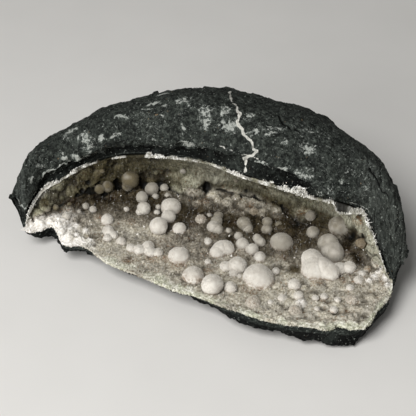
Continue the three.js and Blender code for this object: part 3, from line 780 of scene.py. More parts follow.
# The quartz crust: the points of its grid, and the sizes of its relief and its borders in mm.
crust = {
    "columns": 436,
    "floorRows": 122,
    "wallRows": 66,
    "sideRows": 8,
    "backRows": 24,
    "lumps": [(7.5, 0.5, 101), (3.0, 0.45, 102), (1.5, 0.3, 103)],  # size, height in mm, seed
    "grit": (1.9, 0.5, 107),  # facets
    "knobs": [(6.5, 2.3, 108), (3.4, 0.7, 109)],  # round swellings over buried balls
    "frost": (4.2, 2.0, 111),  # icy knobs at the front left
    "gravel": (5.0, 1.1, 112),  # knobs at the front right
    "frostLump": 1.4,  # height of the white lumps
    "pocketDepth": 2.2,
    "floorMm": 70,  # usual lengths of the floor and the wall, from front to back and up
    "wallMm": 30,
    "fade": 9,  # mm of the face over which a broken border's move dies away
    "rimDrop": 1.3,  # how far the crust's back stops short of its rim
    "rimThin": 0.5,  # how much thinner the crust is at its rim
    "rightInset": 1.7,  # how far the rim stands back from the rock at the right end
}
# Where the broken rim leaves its plain line: x, and mm outwards.
rimChips = [(-88, 0.5), (-85, 2.8), (-80, 2.2), (-74, 0.8), (-66, 0), (-32, 0), (-27, 1.3),
            (-22, 0), (-14, -2.6), (-6, -3), (-1, -3.8), (4, -2.8), (9, -0.8), (14, 0.5),
            (24, 0.5), (40, 0.4), (44, 1.6), (48, 1), (52, 0), (56, -1.6), (61, -1.2),
            (68, -1.4), (72, -0.3), (76, 0.6), (78, 0.4), (80, -1.2), (88, 0)]
# Where the crust's rim is broken lower or stands higher: x, and mm of height.
rimDips = [(61.2, 0), (62.6, -4), (64.4, -5.4), (67.4, -4.6), (69.4, -3), (72, -2),
           (74, -0.8), (76, 0.6), (78, 0)]
# How white and full the rim is, from 0 to 1: it has gaps at the left.
rimShare = [(-88, 1), (-53.3, 1), (-52, 0), (-46.2, 0), (-45.5, 0.8), (-39.3, 0.8), (-38.7, 0),
            (-29.4, 0), (-28.8, 1), (-25.4, 1), (-24.9, 0.3), (-24.3, 1), (50, 1), (54, 0.8),
            (61, 1), (63.5, 0.7), (66.5, 0.7), (68.5, 1), (88, 1)]
# How tall the rim's teeth are, in mm, at each x.
rimTeeth = [(-88, 1.7), (-60, 1.6), (-52, 0.5), (-36, 0.2), (-31, 0.8), (-27, 1.8), (-8, 1.5),
            (20, 1.2), (30, 1.7), (50, 1.7), (58, 1.3), (63, 0.4), (67, 0.5), (73, 2),
            (78, 1.2), (88, 1.3)]
# Where the floor's front edge leaves its plain line: x, and mm outwards.
edgeChips = [(-78, 0), (-73, -1.2), (-70, -0.5), (-67, -2), (-60, -2.3), (-55, -1.4), (-50, 0.5),
             (-46, 1.2), (-41, 0.5), (-35, 0), (-28, 0.6), (-20, 1.6), (-14, 2.2), (-10, 1.5),
             (-6, 0), (6, -0.6), (12, -2), (16, -3.4), (22, -3.5), (30, -2.8), (38, -2.8),
             (45, -3), (51, -2.2), (55, -0.6), (57.6, -1.4), (60.5, -4.4), (63.5, -3.6),
             (69, -1.2), (73, 1.4), (76, 1.2), (79.5, -2.8), (82.5, -3.2), (86, -1)]
# How much painted shade and grime the hollow gets in the brow's shelter: at each x, the place on
# the floor where they start, and their share on the wall.
shelter = [(-88, 1.1, 0), (-82, 1.1, 0.3), (-76, 1.02, 0.6), (-64, 0.66, 0.95), (-50, 0.54, 1),
           (-30, 0.52, 0.9), (-15, 0.44, 0.65), (-2, 0.46, 0.25), (8, 0.44, 0.2), (20, 0.42, 0.45),
           (30, 0.42, 0.5), (38, 0.44, 0.4), (50, 0.5, 0.3), (65, 0.72, 0.05), (76, 0.9, 0),
           (88, 1.1, 0)]
# The crease where wall and floor meet, painted dark as shade: x, and its place on the hollow.
creaseLine = [(-88, 1.0), (-72, 1.14), (-63, 1.24), (-58, 1.2), (-52.6, 1.09), (-47.8, 0.99),
              (-17.6, 0.97), (-12.4, 0.94), (1.6, 1.0), (8, 1.02), (24.4, 0.99), (33, 1.01),
              (37.6, 0.99), (41.8, 0.96), (45.6, 0.92), (52, 0.9), (59, 0.92), (66, 0.95),
              (71, 0.95), (88, 1.0)]
# Pockets in the crust, painted dark as shade: x, place on the hollow, width in mm.
pockets = [
    (0.6, 1.05, 5.6), (-63.2, 1.26, 1.9), (-58, 1.45, 2.2), (-57.8, 1.22, 1.9), (-55, 1.25, 2.4),
    (-51.6, 1.48, 1.45), (-52.8, 1.35, 1.9), (-43.8, 1.1, 2.8), (-39.4, 1.1, 2.6),
    (-32.8, 1.05, 2.2), (71.6, 1.03, 2.8), (24.6, 1.0, 1.6), (38, 1.01, 1.6), (45.4, 0.9, 1.9),
    (20.6, 1.06, 1.5), (-6.8, 0.93, 1.45), (28.4, 0.83, 1.3), (41.6, 0.86, 1.45),
    (-61.2, 1.3, 2.8), (-57.4, 1.26, 3.2), (-44.8, 1.2, 3.6), (-43.8, 1.02, 4), (-50.2, 1.05, 3.2),
    (-53.6, 1.3, 3), (-30.2, 1.0, 4.2), (-27.6, 0.97, 3.4), (-22.6, 1.0, 4.6), (-18.6, 0.98, 3.6),
    (-33.5, 1.12, 3), (75.8, 1.28, 2.8), (78.2, 1.24, 2.4), (79.6, 1.13, 2.4), (74.2, 1.08, 2.6),
    (70.6, 0.98, 2.4),
]
# White lumps of frost, most of them at the front left: x, place, width in mm.
frostLumps = [
    (-70, 0.28, 4.3), (-66.2, 0.43, 4.8), (-62.8, 0.26, 4.3), (-66.6, 0.16, 3.9),
    (-59.8, 0.16, 3.4), (-55.8, 0.18, 3.4), (-72.4, 0.36, 3.4), (-68.4, 0.62, 2.9),
    (-63.4, 0.51, 3.4), (-58.2, 0.36, 2.9), (-76.4, 0.26, 2.9), (-80.2, 0.4, 2.4),
    (74.6, 0.64, 3.2), (80.4, 0.68, 3.6), (84, 0.95, 3.6), (82.4, 0.82, 3.2), (85.3, 0.8, 3),
    (86, 0.58, 2.6), (77.6, 0.56, 2.6), (44.8, 0.22, 4.2),
]
# Brown dust: x, place, width in mm.
rustPatches = [
    (-24.8, 0.22, 5.8), (-36.2, 0.11, 4.8), (-19, 0.26, 4.8), (-12.6, 0.23, 6.8),
    (-5.8, 0.69, 4.8), (-0.4, 0.89, 4.8), (-36.4, 0.59, 3.9), (-52.4, 0.66, 3.9),
    (-65.8, 1.15, 3.4), (-46, 0.9, 3.9), (-79.4, 0.42, 2.9), (74.6, 1.61, 3.9),
    (77.6, 0.76, 2.9), (65, 0.5, 3.4), (53.2, 0.43, 4.8), (18.2, 0.23, 4.8), (38.4, 0.6, 3.9),
    (14, 0.76, 3.9), (4.6, 0.61, 3.9), (1.6, 0.28, 3.9), (23.2, 0.24, 3.9), (68.8, 0.81, 3.9),
    (54.8, 0.27, 2.9), (15.4, 0.62, 3.9), (47.4, 0.99, 3.9), (64.8, 0.18, 3.9),
    (59.6, 0.07, 2.9), (22.8, 0.93, 3.9), (10.2, 0.18, 2.9), (48, 0.03, 2.9), (0.2, 0.21, 3.9),
    (-6.8, 0.16, 3.9), (65.4, 0.48, 2.6), (70, 0.5, 2), (77.6, 0.75, 2.4), (83.4, 0.6, 2.6),
    (71, 0.62, 2), (72.6, 1.5, 5), (49.6, 1.04, 4), (54.8, 0.42, 2.4), (56, 0.3, 2.6),
    (68, 0.38, 2.2), (58.2, 0.25, 2),
]
# Spots of painted shade and grime, and clearer spots with less of both: x, place, width in mm.
shadeAndGrimeSpots = [(71.5, 1.0, 10), (40, 0.95, 10), (47, 0.86, 11), (56, 0.88, 8), (73, 0.8, 6),
              (12, 0.74, 12), (24, 0.76, 12), (31, 0.76, 12), (48, 0.74, 12), (-30, 0.92, 11),
              (69, 0.86, 10), (73, 0.84, 9), (76, 0.98, 8), (61, 0.86, 9), (27, 0.68, 11),
              (12, 0.6, 8), (29.5, 1.35, 7), (-27.8, 1.05, 7), (-21.2, 1.02, 6),
              (30, 1.04, 8), (-2.5, 1.0, 5), (76.5, 1.08, 9), (43, 0.51, 7), (-79.5, 1.42, 6)]
clearSpots = [(-12.4, 0.95, 12), (-4.8, 0.92, 11), (2, 0.94, 11), (9, 0.97, 15), (16.4, 0.98, 15),
              (22.8, 0.96, 11), (29, 0.93, 8), (36, 0.94, 6), (50, 1.03, 10), (5, 0.91, 12),
              (12, 0.91, 13), (19, 0.91, 12)]
# Paler patches of the floor: x, place, width in mm.
paleSpots = [(-50, 0.5, 14), (-38, 0.48, 13), (-28, 0.5, 13), (-20, 0.53, 9), (79.4, 0.8, 9),
             (50, 0.3, 12), (84, 1.2, 7), (-76, 1.04, 6), (45, 0.22, 10), (-52, 0.36, 10)]
# The swelling in the wall's foot, over an overgrown ball: x, place, width and height in mm.
coatedLump = (-5.8, 1.1, 12, 6.2)


def spread(points, marks, soft):
    # The strongest of round soft-edged marks round places of the hollow, from 0 to 1.
    total = np.zeros(points.shape[:-1])
    for x, place, width in marks:
        middle = hollowFace(x, place)[0]
        away = np.linalg.norm(points - middle, axis=-1) / (0.5 * width)
        total = np.maximum(total, 1 - smooth(1 - soft, 1 + soft, away))
    return total


def shadeAndGrimeShare(points, place):
    # How much painted shade and grime the hollow gets, from 0 to 1: it sets in over a third of the
    # floor, is full at the wall's foot, and fades to the wall's own share.
    x = points[..., 0]
    start, onWall = (readTable([(row[0], row[k]) for row in shelter], x) for k in (1, 2))
    onFloor = smooth(0, 0.32, place + 0.06 * swell(points, 6, 133) - start)
    share = onFloor + (onWall - onFloor) * smooth(1.06, 1.3, place)
    share = np.maximum(share, spread(points, shadeAndGrimeSpots, 0.6))
    return share * (1 - 0.85 * spread(points, clearSpots, 0.5) * smooth(1.15, 1.0, place))


def footGroove(points, place):
    # The ragged groove along the crease, painted dark as shade, from 0 to 1: its places are turned
    # into mm, and it is broken off by a noise, at both ends and at the coated lump.
    x = points[..., 0]
    offset = place - readTable(creaseLine, x)
    fromFoot = offset * np.where(place < 1, crust["floorMm"], crust["wallMm"]) \
        + 1.3 * swell(points, 6, 134) + 0.7 * swell(points, 1.7, 139)
    unbroken = smooth(-0.5, 0, swell(points, 4, 135)) * smooth(76, 70, np.abs(x + 2)) \
        * (1 - spread(points, [coatedLump[:3]], 0.2))
    wide = 0.35 + (0.7 - 0.4 * smooth(-5, 5, x)) * smooth(-0.3, 0.6, swell(points, 3, 137)) \
        + 0.7 * smooth(-20, -40, x) * smooth(-0.2, 0.5, swell(points, 7, 138))
    return (1 - smooth(0.5, 1.5, np.abs(fromFoot) / wide)) * unbroken


def crustMasks(points, place, fromRim, fromEdge, lift):
    # Where the crust's colours change, from 0 to 1 at each point. Bands along the borders are
    # given by the distance from them in mm, and low places by the lift over the plain face.
    x = points[..., 0]
    wander, patchy = swell(points, 2.4, 131), swell(points, 4.5, 136)
    frost = np.maximum(spread(points, frostLumps, 0.9),
                       smooth(-58, -74, x + 5 * wander) * smooth(1.0, 0.6, place))
    left = smooth(-40, -66, x)
    broad = 1 + 0.5 * smooth(0, -25, x)
    frontBand = (1 - smooth(1.2, 4.4, fromEdge / broad + 1.8 * wander)) * smooth(-0.8, 0, patchy)
    rimBand = 1 - smooth(0, 0.5, fromRim + 0.5 * wander)
    lump = spread(points, [coatedLump[:3]], 0.15)
    # Paler parts: the coated lump, the wall's right end, the front of the floor, the wall and the
    # floor just before it from -16 on, less so on the wall from 6 to 58, then the wall's top at
    # the far left, and the pale spots. On the wall and the floor before it, the paleness is partly
    # painted light that lifts the shade under the overhang.
    pale = np.maximum(0.3 * lump,
                      0.75 * smooth(66, 76, x) * smooth(1.0, 1.3, place + 0.1 * wander))
    near = np.interp(x, [15, 30], [0.55, 0.72])
    pale = np.maximum(pale, smooth(near, near - 0.35, place + 0.1 * patchy)
                      * np.interp(x, [-40, -25, -10, 30, 54, 66], [0.8, 0.5, 0.5, 1, 1, 0.6]))
    pale = np.maximum(pale, np.interp(x, [-16, 2, 34, 44, 52, 60], [0, 0.9, 0.9, 0.3, 0.4, 0.7])
                      * smooth(0.84, 0.97, place + 0.03 * patchy))
    pale = pale * (1 - 0.6 * smooth(6, 16, x) * smooth(58, 50, x) * smooth(1.0, 1.15, place))
    outer = smooth(-76, -84, x + 2 * wander) * smooth(1.5, 1.75, place + 0.1 * wander)
    pale = np.maximum(np.maximum(pale, outer), 0.7 * spread(points, paleSpots, 0.7))
    return {
        "wall": smooth(-0.03, 0.08, place + 0.05 * wander - readTable(creaseLine, x)),
        "rim": rimBand * readTable(rimShare, x) * smooth(-0.7, 0.2, patchy + wander),
        "edge": frontBand * (1 - left),
        "frost": np.clip(np.maximum(np.maximum(frost, 0.6 * outer), frontBand * left), 0, 1),
        "rust": spread(points, rustPatches, 0.8),
        # Pockets and the crease, painted near black as shade.
        "dark": np.maximum(spread(points, pockets, 0.45), 0.95 * footGroove(points, place)),
        # Painted shade and grime in the hollow under the brow.
        "deep": shadeAndGrimeShare(points, place) * (1 - 0.35 * lump),
        # Low places, darkened with painted shade.
        "low": smooth(0.1, -0.9, lift),
        "pale": pale,
    }


def crustLift(points, place):
    # The height of the crust's crystal lumps over its plain face, in mm. The wall's lumps are
    # drawn out up and down.
    x = points[..., 0]
    shaped = points * np.where((place > 1)[..., None], [1.15, 1, 0.6], [1.0, 1, 1])
    height = swells(shaped, crust["lumps"]) + chips(shaped, crust["grit"], 0.15)
    # Knobs crowd the foot of the wall, the left of the wall, the right front of the floor, both
    # ends, and the back of the floor in the middle.
    crowds = ((1 - smooth(0.12, 0.4, np.abs(place - 1.12)))
              * np.interp(x, [0, 18, 58, 70], [1, 0.15, 0.15, 1]),
              0.65 * smooth(-20, -45, x) * smooth(0.95, 1.1, place),
              0.5 * smooth(48, 62, x) * smooth(0.5, 0.3, place),
              1.6 * smooth(66, 72, np.abs(x)) * smooth(0.5, 0.9, place),
              np.interp(x, [-10, 0, 45, 52], [0, 0.8, 0.8, 0]) * smooth(0.68, 0.82, place)
              * smooth(1.05, 0.98, place))
    crowded = np.max(np.broadcast_arrays(*crowds), 0) * smooth(-0.7, 0, swell(points, 11, 110))
    icy = smooth(-52, -64, x) * smooth(0.8, 0.6, place)
    gravelly = smooth(10, 40, x) * smooth(0.55, 0.25, place)
    # A knob's height counts from a level, and between knobs the face lies that much lower.
    layers = [(layer, crowded, 0.35) for layer in crust["knobs"]]
    layers += [(crust["frost"], icy, 0.4), (crust["gravel"], gravelly, 0.4)]
    for (size, tall, seed), share, level in layers:
        height = height + tall * share * (facets(points, size, seed)[2] - level)
    height = height + crust["frostLump"] * spread(points, frostLumps, 0.7)
    middle, onFace, width, tall = coatedLump
    away = np.linalg.norm(points - hollowFace(middle, onFace)[0], axis=-1) / (0.5 * width)
    height = height + tall * np.sqrt(np.clip(1 - away**2, 0, 1))
    hollows = np.maximum(spread(points, pockets, 0.6), 0.7 * footGroove(points, place))
    return np.maximum(height - crust["pocketDepth"] * hollows, -crustThin)


def chipped(points, up, fromRim, fromEdge, place, dips=1):
    # Moves the face's borders to the broken lines, out or in along the face, and lowers the rim.
    # The wall's right end stands back from the rock. Each move fades over some mm of face.
    x = points[..., 0]
    nearRim, nearEdge = (1 - smooth(0, crust["fade"], away) for away in (fromRim, fromEdge))
    push = readTable(rimChips, x) * nearRim - readTable(edgeChips, x) * nearEdge
    moved = points + up * push[..., None]
    moved[..., 0] -= crust["rightInset"] * smooth(74, 79, x) * smooth(1.1, 1.7, place)
    moved[..., 2] += readTable(rimDips, x) * nearRim * dips
    return moved


def alongRows(points):
    # How far each point of a grid is from its first row, in mm along the surface.
    step = np.linalg.norm(np.diff(points, axis=1), axis=-1)
    return np.concatenate([0 * step[:, :1], np.cumsum(step, 1)], 1)


def ladderFaces(top, backRows, backIndex):
    # Triangles between the outer rows 0..top and the back's rows, whose end points are shared:
    # a rung from each outer step to its matching back row, and one where that row changes.
    match = np.round(np.linspace(0, backRows, top + 1)).astype(int)
    j = np.arange(top)
    rungs = np.stack([j, j + 1, backIndex[match[:-1]]], -1)
    turns = np.flatnonzero(np.diff(match))
    steps = np.stack([backIndex[match[turns]], turns + 1, backIndex[match[turns + 1]]], -1)
    ladder = np.concatenate([rungs, steps])
    return ladder[(np.diff(np.sort(ladder, 1), axis=1) > 0).all(1)]


def crustSides(x, face, back, up, inward, toEnds):
    # The broken sides between the face and the back, bellied along the face. Teeth rise from the
    # rim's side, in front of the rock: narrow ones where a noise crosses zero, on a ragged edge.
    t = (np.arange(1, crust["sideRows"]) / crust["sideRows"])[None, :, None]
    rimSide = face[:, -1:] * (1 - t) + back[:, -1:] * t
    edgeSide = back[:, :1] * (1 - t) + face[:, :1] * t
    belly = (4 * t * (1 - t))[..., 0] * toEnds
    rimSide = rimSide + up[:, -1:] * (belly * (0.5 + 0.5 * swell(rimSide, 0.9, 121)))[..., None]
    rimLine = hollowFace(x, 2.0)[0]
    spiky = 1 - smooth(0, 0.45, np.abs(swell(rimLine, 2.1, 113)))
    teeth = readTable(rimTeeth, x) * toEnds \
        * (spiky * (0.6 + 0.4 * swell(rimLine, 4, 116)) - 0.2 + 0.4 * swell(rimLine, 1.0, 115))
    rise = (t[..., 0] * teeth)[..., None]
    rimSide = rimSide + inward[:, -1:] * rise + up[:, -1:] * 0.35 * np.abs(rise)
    edgeSide = edgeSide - up[:, :1] * (belly * (0.5 + 0.8 * swell(edgeSide, 1.4, 122)))[..., None]
    return edgeSide, rimSide


def makeCrust():
    # The face from the floor's edge to the rim, lifted by its lumps; the broken sides; and a
    # plain back at the crust's thickness. A ladder of triangles closes each end.
    share = np.linspace(-1, 1, crust["columns"])[:, None]
    x = mouthEnd * (0.4 * share + 0.6 * np.sin(share * np.pi / 2))  # closer at the ends
    place = faceRows(crust["floorRows"], crust["wallRows"])[None]
    flat, inward, up = hollowFace(x, place)
    along = alongRows(flat)
    fromRim = along[:, -1:] - along
    toEnds = smooth(mouthEnd, mouthEnd - 2, np.abs(x))
    # The lift is less within 3 mm of a border, and the face sinks by at most 0.8 of the thickness.
    border = np.clip(np.minimum(along, fromRim) / 3, 0.2, 1)
    outward = faceOutward(x, place)
    room = -0.8 * crustThickness(x, place) * (outward * -inward).sum(-1)
    lift = np.maximum(crustLift(flat, place) * toEnds * border, room)
    face = flat + outward * lift[..., None]
    # The rim and the edge wander along the face.
    rimPush = (1 - smooth(0, 2, fromRim)) * toEnds * swell(flat[:, -1:], 3, 114)
    ragged = 0.7 * swell(flat[:, :1], 1.6, 117) + 0.4 * swell(flat[:, :1], 5, 118)
    edgePush = (1 - smooth(0, 2, along)) * ragged * toEnds
    face = face + up * (rimPush + edgePush)[..., None]
    face = chipped(face, up, fromRim, along, place)
    spur = np.exp(-((x + mouthEnd) / 2.5)**2) * np.clip(1 - place / 0.5, 0, 1)
    face = face + spur[..., None] * [-2.6, -1.6, 0.4]  # a splinter at the left end

    backRows = crust["backRows"]
    backPlace = np.linspace(0, 2, backRows + 1)[None]
    back, backInward, backUp = hollowFace(x, backPlace)
    back = back + backInward * crustThickness(x, backPlace)[..., None]
    behind = alongRows(back)
    toRim = behind[:, -1:] - behind
    back = back - backUp * (crust["rimDrop"] * toEnds * (1 - smooth(0, 4, toRim)))[..., None]
    back = back - backInward * (crust["rimThin"] * toEnds * (1 - smooth(0, 3, toRim)))[..., None]
    back = chipped(back, backUp, toRim, behind, backPlace, 0)
    edgeSide, rimSide = crustSides(x, face, back, up, inward, toEnds)
    outer = np.concatenate([back[:, :1], edgeSide, face, rimSide, back[:, -1:]], 1)
    ringPoints = np.concatenate([outer, back[:, -2:0:-1]], 1)
    columns, ring = ringPoints.shape[:2]
    top = outer.shape[1] - 1
    row = np.arange(backRows + 1)
    ladder = ladderFaces(top, backRows, np.where(row == 0, 0, top + backRows - row))

    def overRing(onFace, onEdge, onRim, onBack):
        # A value for each point of the rings, from those of the face, its two sides and the back.
        side = crust["sideRows"] - 1
        blocks = [(1, onBack), (side, onEdge), (face.shape[1], onFace), (side, onRim),
                  (1, onBack), (backRows - 1, onBack)]
        return np.concatenate([np.broadcast_to(values, (columns, count))
                               for count, values in blocks], 1).ravel()

    masks = crustMasks(flat, place, fromRim, along, lift)
    values = {key: overRing(mask, mask[:, :1], mask[:, -1:], 0) for key, mask in masks.items()}
    # The rim is dull where it has gaps and dark where it is broken lower. The back is dark.
    dim = np.maximum(0.6 * (1 - readTable(rimShare, x)),
                     np.clip(-readTable(rimDips, x) / 5, 0, 0.94))
    values["dark"] = overRing(masks["dark"], masks["dark"][:, :1], dim, 1)
    values["tone"] = 0.5
    part = {"points": ringPoints.reshape(-1, 3), "smooth": True, "values": values,
            "faces": [gridFaces(columns, ring, True), ladder,
                      (columns - 1) * ring + ladder[:, ::-1]]}
    makePiece("drusyCrust", [part], druse, ["quartz_crust"])


makeCrust()

# Each ball: x, place on the hollow, diameter in mm, and the height of its middle over the crust as
# a share of the diameter. Balls that have grown together are one piece. A piece's name starts with
# okenite_, and the node that it replaces with puff_.
puffballs = {
    "back_dim": [(-37.4, 1.26, 8.8, 0.35), (-39.2, 1.0, 4.6, 0.35)],
    "back_left": [(-48.8, 1.2, 5.7, 0.35), (-52.8, 1.22, 4.7, 0.35)],
    "back_middle": [(-26.6, 0.96, 6.8, 0.12)],
    "back_small": [(-20.4, 0.97, 4.2, 0.35)],
    "left_upper": [(-31.4, 0.85, 6, 0.35)],
    "left_second": [(-30.2, 0.73, 6.6, 0.35), (-32.6, 0.7, 3, 0.35)],
    "left_stack": [(-16.8, 0.8, 10.3, 0), (-17.8, 0.69, 7, 0.19)],
    "left_round": [(-22.4, 0.55, 8.8, 0.35)],
    "left_low": [(-12.4, 0.6, 6.8, 0.05)],
    "left_bead_high": [(-48.2, 0.58, 5.9, 0.18)],
    "left_beads": [(-47.2, 0.41, 5.8, 0.22), (-44.6, 0.37, 4.6, 0.2),
                   (-47.4, 0.31, 4.2, 0.2)],
    "left_bead_low": [(-40.6, 0.32, 5.1, 0)],
    "left_row": [(-35.6, 0.26, 4.6, 0.2), (-31.6, 0.26, 5.6, 0.22), (-27.2, 0.32, 5.6, 0.3),
                 (-26.4, 0.27, 5.6, 0.22), (-22.4, 0.29, 5, 0.15)],
    "left_dome": [(-12.2, 0.32, 10.7, 0)],
    "front_cracked": [(-5.4, 0.16, 10.4, 0.02)],
    "front_edge": [(3.6, 0.1, 10, 0.35)],
    "front_small": [(12.2, 0.18, 5.9, 0.2)],
    "centre_group": [(6.8, 0.78, 4.6, 0.2), (6, 0.73, 5.8, 0.2), (4, 0.67, 5.6, 0.3),
                     (6.6, 0.665, 5.5, 0.15)],
    "centre_pair": [(6, 0.46, 6.8, 0.07), (10.4, 0.52, 8.2, 0.06), (7.8, 0.5, 7.4, 0.1)],
    "centre_low": [(10, 0.35, 5.4, 0.25), (15.8, 0.38, 8.3, 0.33), (13.6, 0.32, 4.2, 0.2)],
    "centre_small": [(16.6, 0.65, 4.2, 0.2)],
    "centre_right": [(18.4, 0.59, 6.3, 0.17), (23, 0.57, 6.1, 0.1)],
    "centre_beads": [(27.2, 0.65, 5, 0.15), (25.6, 0.67, 4.4, 0.25)],
    "centre_dome": [(26.6, 0.53, 6.3, 0)],
    "coated_middle": [(-1.8, 0.73, 5.8, 0)],
    "coated_back": [(24.6, 0.88, 4.7, 0.06)],
    "right_back": [(19.4, 0.75, 6.6, 0.3), (21.4, 0.73, 4.9, 0.15)],
    "right_twin": [(30.8, 0.83, 5.3, 0.12), (30.6, 0.77, 5.3, 0.15)],
    "right_dome": [(37.4, 0.7, 11.5, 0)],
    "largest": [(25.8, 0.35, 15, 0)],
    "front_round": [(42.2, 0.36, 6, 0.2)],
    "front_lower": [(43.8, 0.27, 4.7, 0.2)],
    "front_flat": [(36.2, 0.23, 4.5, 0.05)],
    "coated_front": [(22.6, 0.13, 6.9, 0)],
    "coated_low": [(41.8, 0.14, 6, 0)],
    "right_round": [(52.8, 0.83, 6.2, 0.2)],
    "right_high": [(52.2, 0.96, 5.1, 0.33)],
    "wall_dome": [(65.8, 0.98, 10.7, 0.05)],
    "right_tall": [(59.8, 0.76, 9.7, 0.22), (62, 0.7, 10.6, 0.16)],
    "right_cluster": [(51.4, 0.6, 10.1, 0.14), (52.4, 0.52, 13.2, 0.02),
                      (59.8, 0.51, 8.7, 0.2), (64.4, 0.58, 6.2, 0.18),
                      (69, 0.62, 6.2, 0.22), (55.8, 0.53, 10.4, 0.12)],
    "wall_brown": [(75.6, 1.06, 6.3, 0)],
    "right_flat": [(72.6, 0.53, 4.7, 0)],
    "front_bead": [(59.6, 0.18, 4.1, 0.05)],
    "coated_right": [(68.4, 0.3, 5.8, 0)],
    "far_left": [(-68.4, 0.73, 4.5, 0.2)],
}
# What all the balls share, in mm where nothing else is said.
puff = {
    "fibresPerSquareMm": 17,
    "fibreLength": (0.35, 0.62),  # mm above the core
    "fibreRadius": 0.075,
    "rootDepth": 0.08,  # how deep fibres and grains are rooted in the core
    "lean": 0.16,  # how far they lean, as a share of their length
    "sunk": 0.5,  # how deep a ball's flattened foot sits in the crust
    "stained": 0.22,  # how far up its foot a ball is stained, as a share of its diameter
    "soiled": {-5.4: 0.5},  # the same for balls stained higher up, by x
    "grainsPerSquareMm": 3.2,  # quartz grains on a coated ball
    "grainRadius": (0.22, 0.42),
    "grainLength": (0.3, 0.6),
    "skin": 0.22,  # how far the core lies within the ball's radius, under its fibres
    "coatedSkin": 0.15,
    "rowsPerMm": 2.6,  # rows of the core's grid for each mm of diameter, within two limits
    "rows": (12, 36),
    "fillet": (0.3, 0.2),  # where two balls meet: its width, as a share of the other ball's
                           # diameter, and how far it swells, as a share of that width
    "beadRise": 0.15,  # height of a bead's middle over the crust, as a share of its diameter
}
# How much painted shade and grime the balls get. Each row has the ends of a stretch of x, and a
# table of the place on the hollow and the share of shade and grime there, from 0 to 1.
ballShadeAndGrimeTable = [
    ((-28,), [(0.65, 0), (0.78, 0.4), (0.97, 0.6), (1.0, 0.85), (1.14, 1)]),
    ((-18, -2), [(0.6, 0), (0.85, 0.3), (1, 0.5)]),
    ((6, 42), [(0.5, 0), (0.62, 0.38), (0.75, 0.68), (1, 0.9)]),
    ((50,), [(0.6, 0), (0.7, 0.5), (0.8, 0.65), (0.98, 0.7), (1.06, 0.95)]),
]
# Beads too small to be pieces of their own: x, place, diameter in mm.
beads = [
    (-24.8, 0.89, 3.5), (-18.8, 0.91, 3.0), (-23.2, 0.79, 2.75), (-23.8, 0.73, 3.0),
    (-39, 0.73, 2.9), (2.2, 0.78, 2.7), (1.6, 0.54, 3.9), (1.6, 0.35, 3.2), (16.6, 0.32, 2.8),
    (11.8, 0.68, 2.95), (36.4, 0.84, 3.7), (28.8, 0.87, 3.0), (34, 0.45, 3.8), (30.6, 0.17, 2.9),
    (74.8, 0.62, 2.8), (51.8, 0.17, 2.8), (61.8, 0.28, 3.25), (55.8, 0.29, 3.5),
    (51.6, 0.27, 3.25), (68.2, 0.42, 3.75), (-74, 1.09, 2.9), (-67.4, 1.05, 2.5),
    (-59.2, 0.89, 3.5), (-55.6, 0.79, 3.7), (-62.4, 0.82, 2.2), (-51.2, 1.66, 3.0),
    (-10.8, 1.41, 3.0), (15.8, 1.31, 2.5),
]


def ballFrame(x, place, diameter, rise):
    # The ball's middle, the directions out of the crust, along it and up it, and the point of the
    # crust's face under the ball.
    point, inward, up = hollowFace(x, place)
    return point - inward * rise * diameter, -inward, np.array([1.0, 0, 0]), up, point


def ballRadius(local, radius, seed):
    # A ball's radius in each direction of its own frame: a ball that is up to a tenth flatter along
    # its axis and a little longer one way across it, with broad swellings and shallow bumps.
    flatter, longer, turn = np.random.default_rng(seed + 7).uniform([0.02, 0, 0], [0.1, 0.05, 3])
    around = np.arctan2(local[:, 1], local[:, 0])
    return radius * (1.02 - flatter * local[:, 2]**2 + longer * np.cos(2 * (around - turn))
                     * (1 - local[:, 2]**2)
                     + 0.07 * swell(local * radius, 0.7 * radius + 0.6, seed)
                     + 0.03 * swell(local * radius, 0.3 * radius + 0.4, seed + 1))


def fillet(points, directions, others):
    # Where grown-together balls meet, each swells a little: the closer a point is to another
    # ball's surface, the more it moves out.
    wide, tall = puff["fillet"]
    for middle, diameter in others:
        width = wide * diameter
        gap = np.abs(np.linalg.norm(points - middle, axis=-1) - 0.5 * diameter) / width
        points = points + directions * (tall * width * np.clip(1 - gap, 0, 1)**2)[:, None]
    return points


def ballShadeAndGrime(x, place):
    # How much painted shade and grime a ball gets, from 0 to 1: the deeper it sits in the hollow
    # the more.
    return readTable([(end, readTable(table, place)) for ends, table in ballShadeAndGrimeTable for end in ends], x)


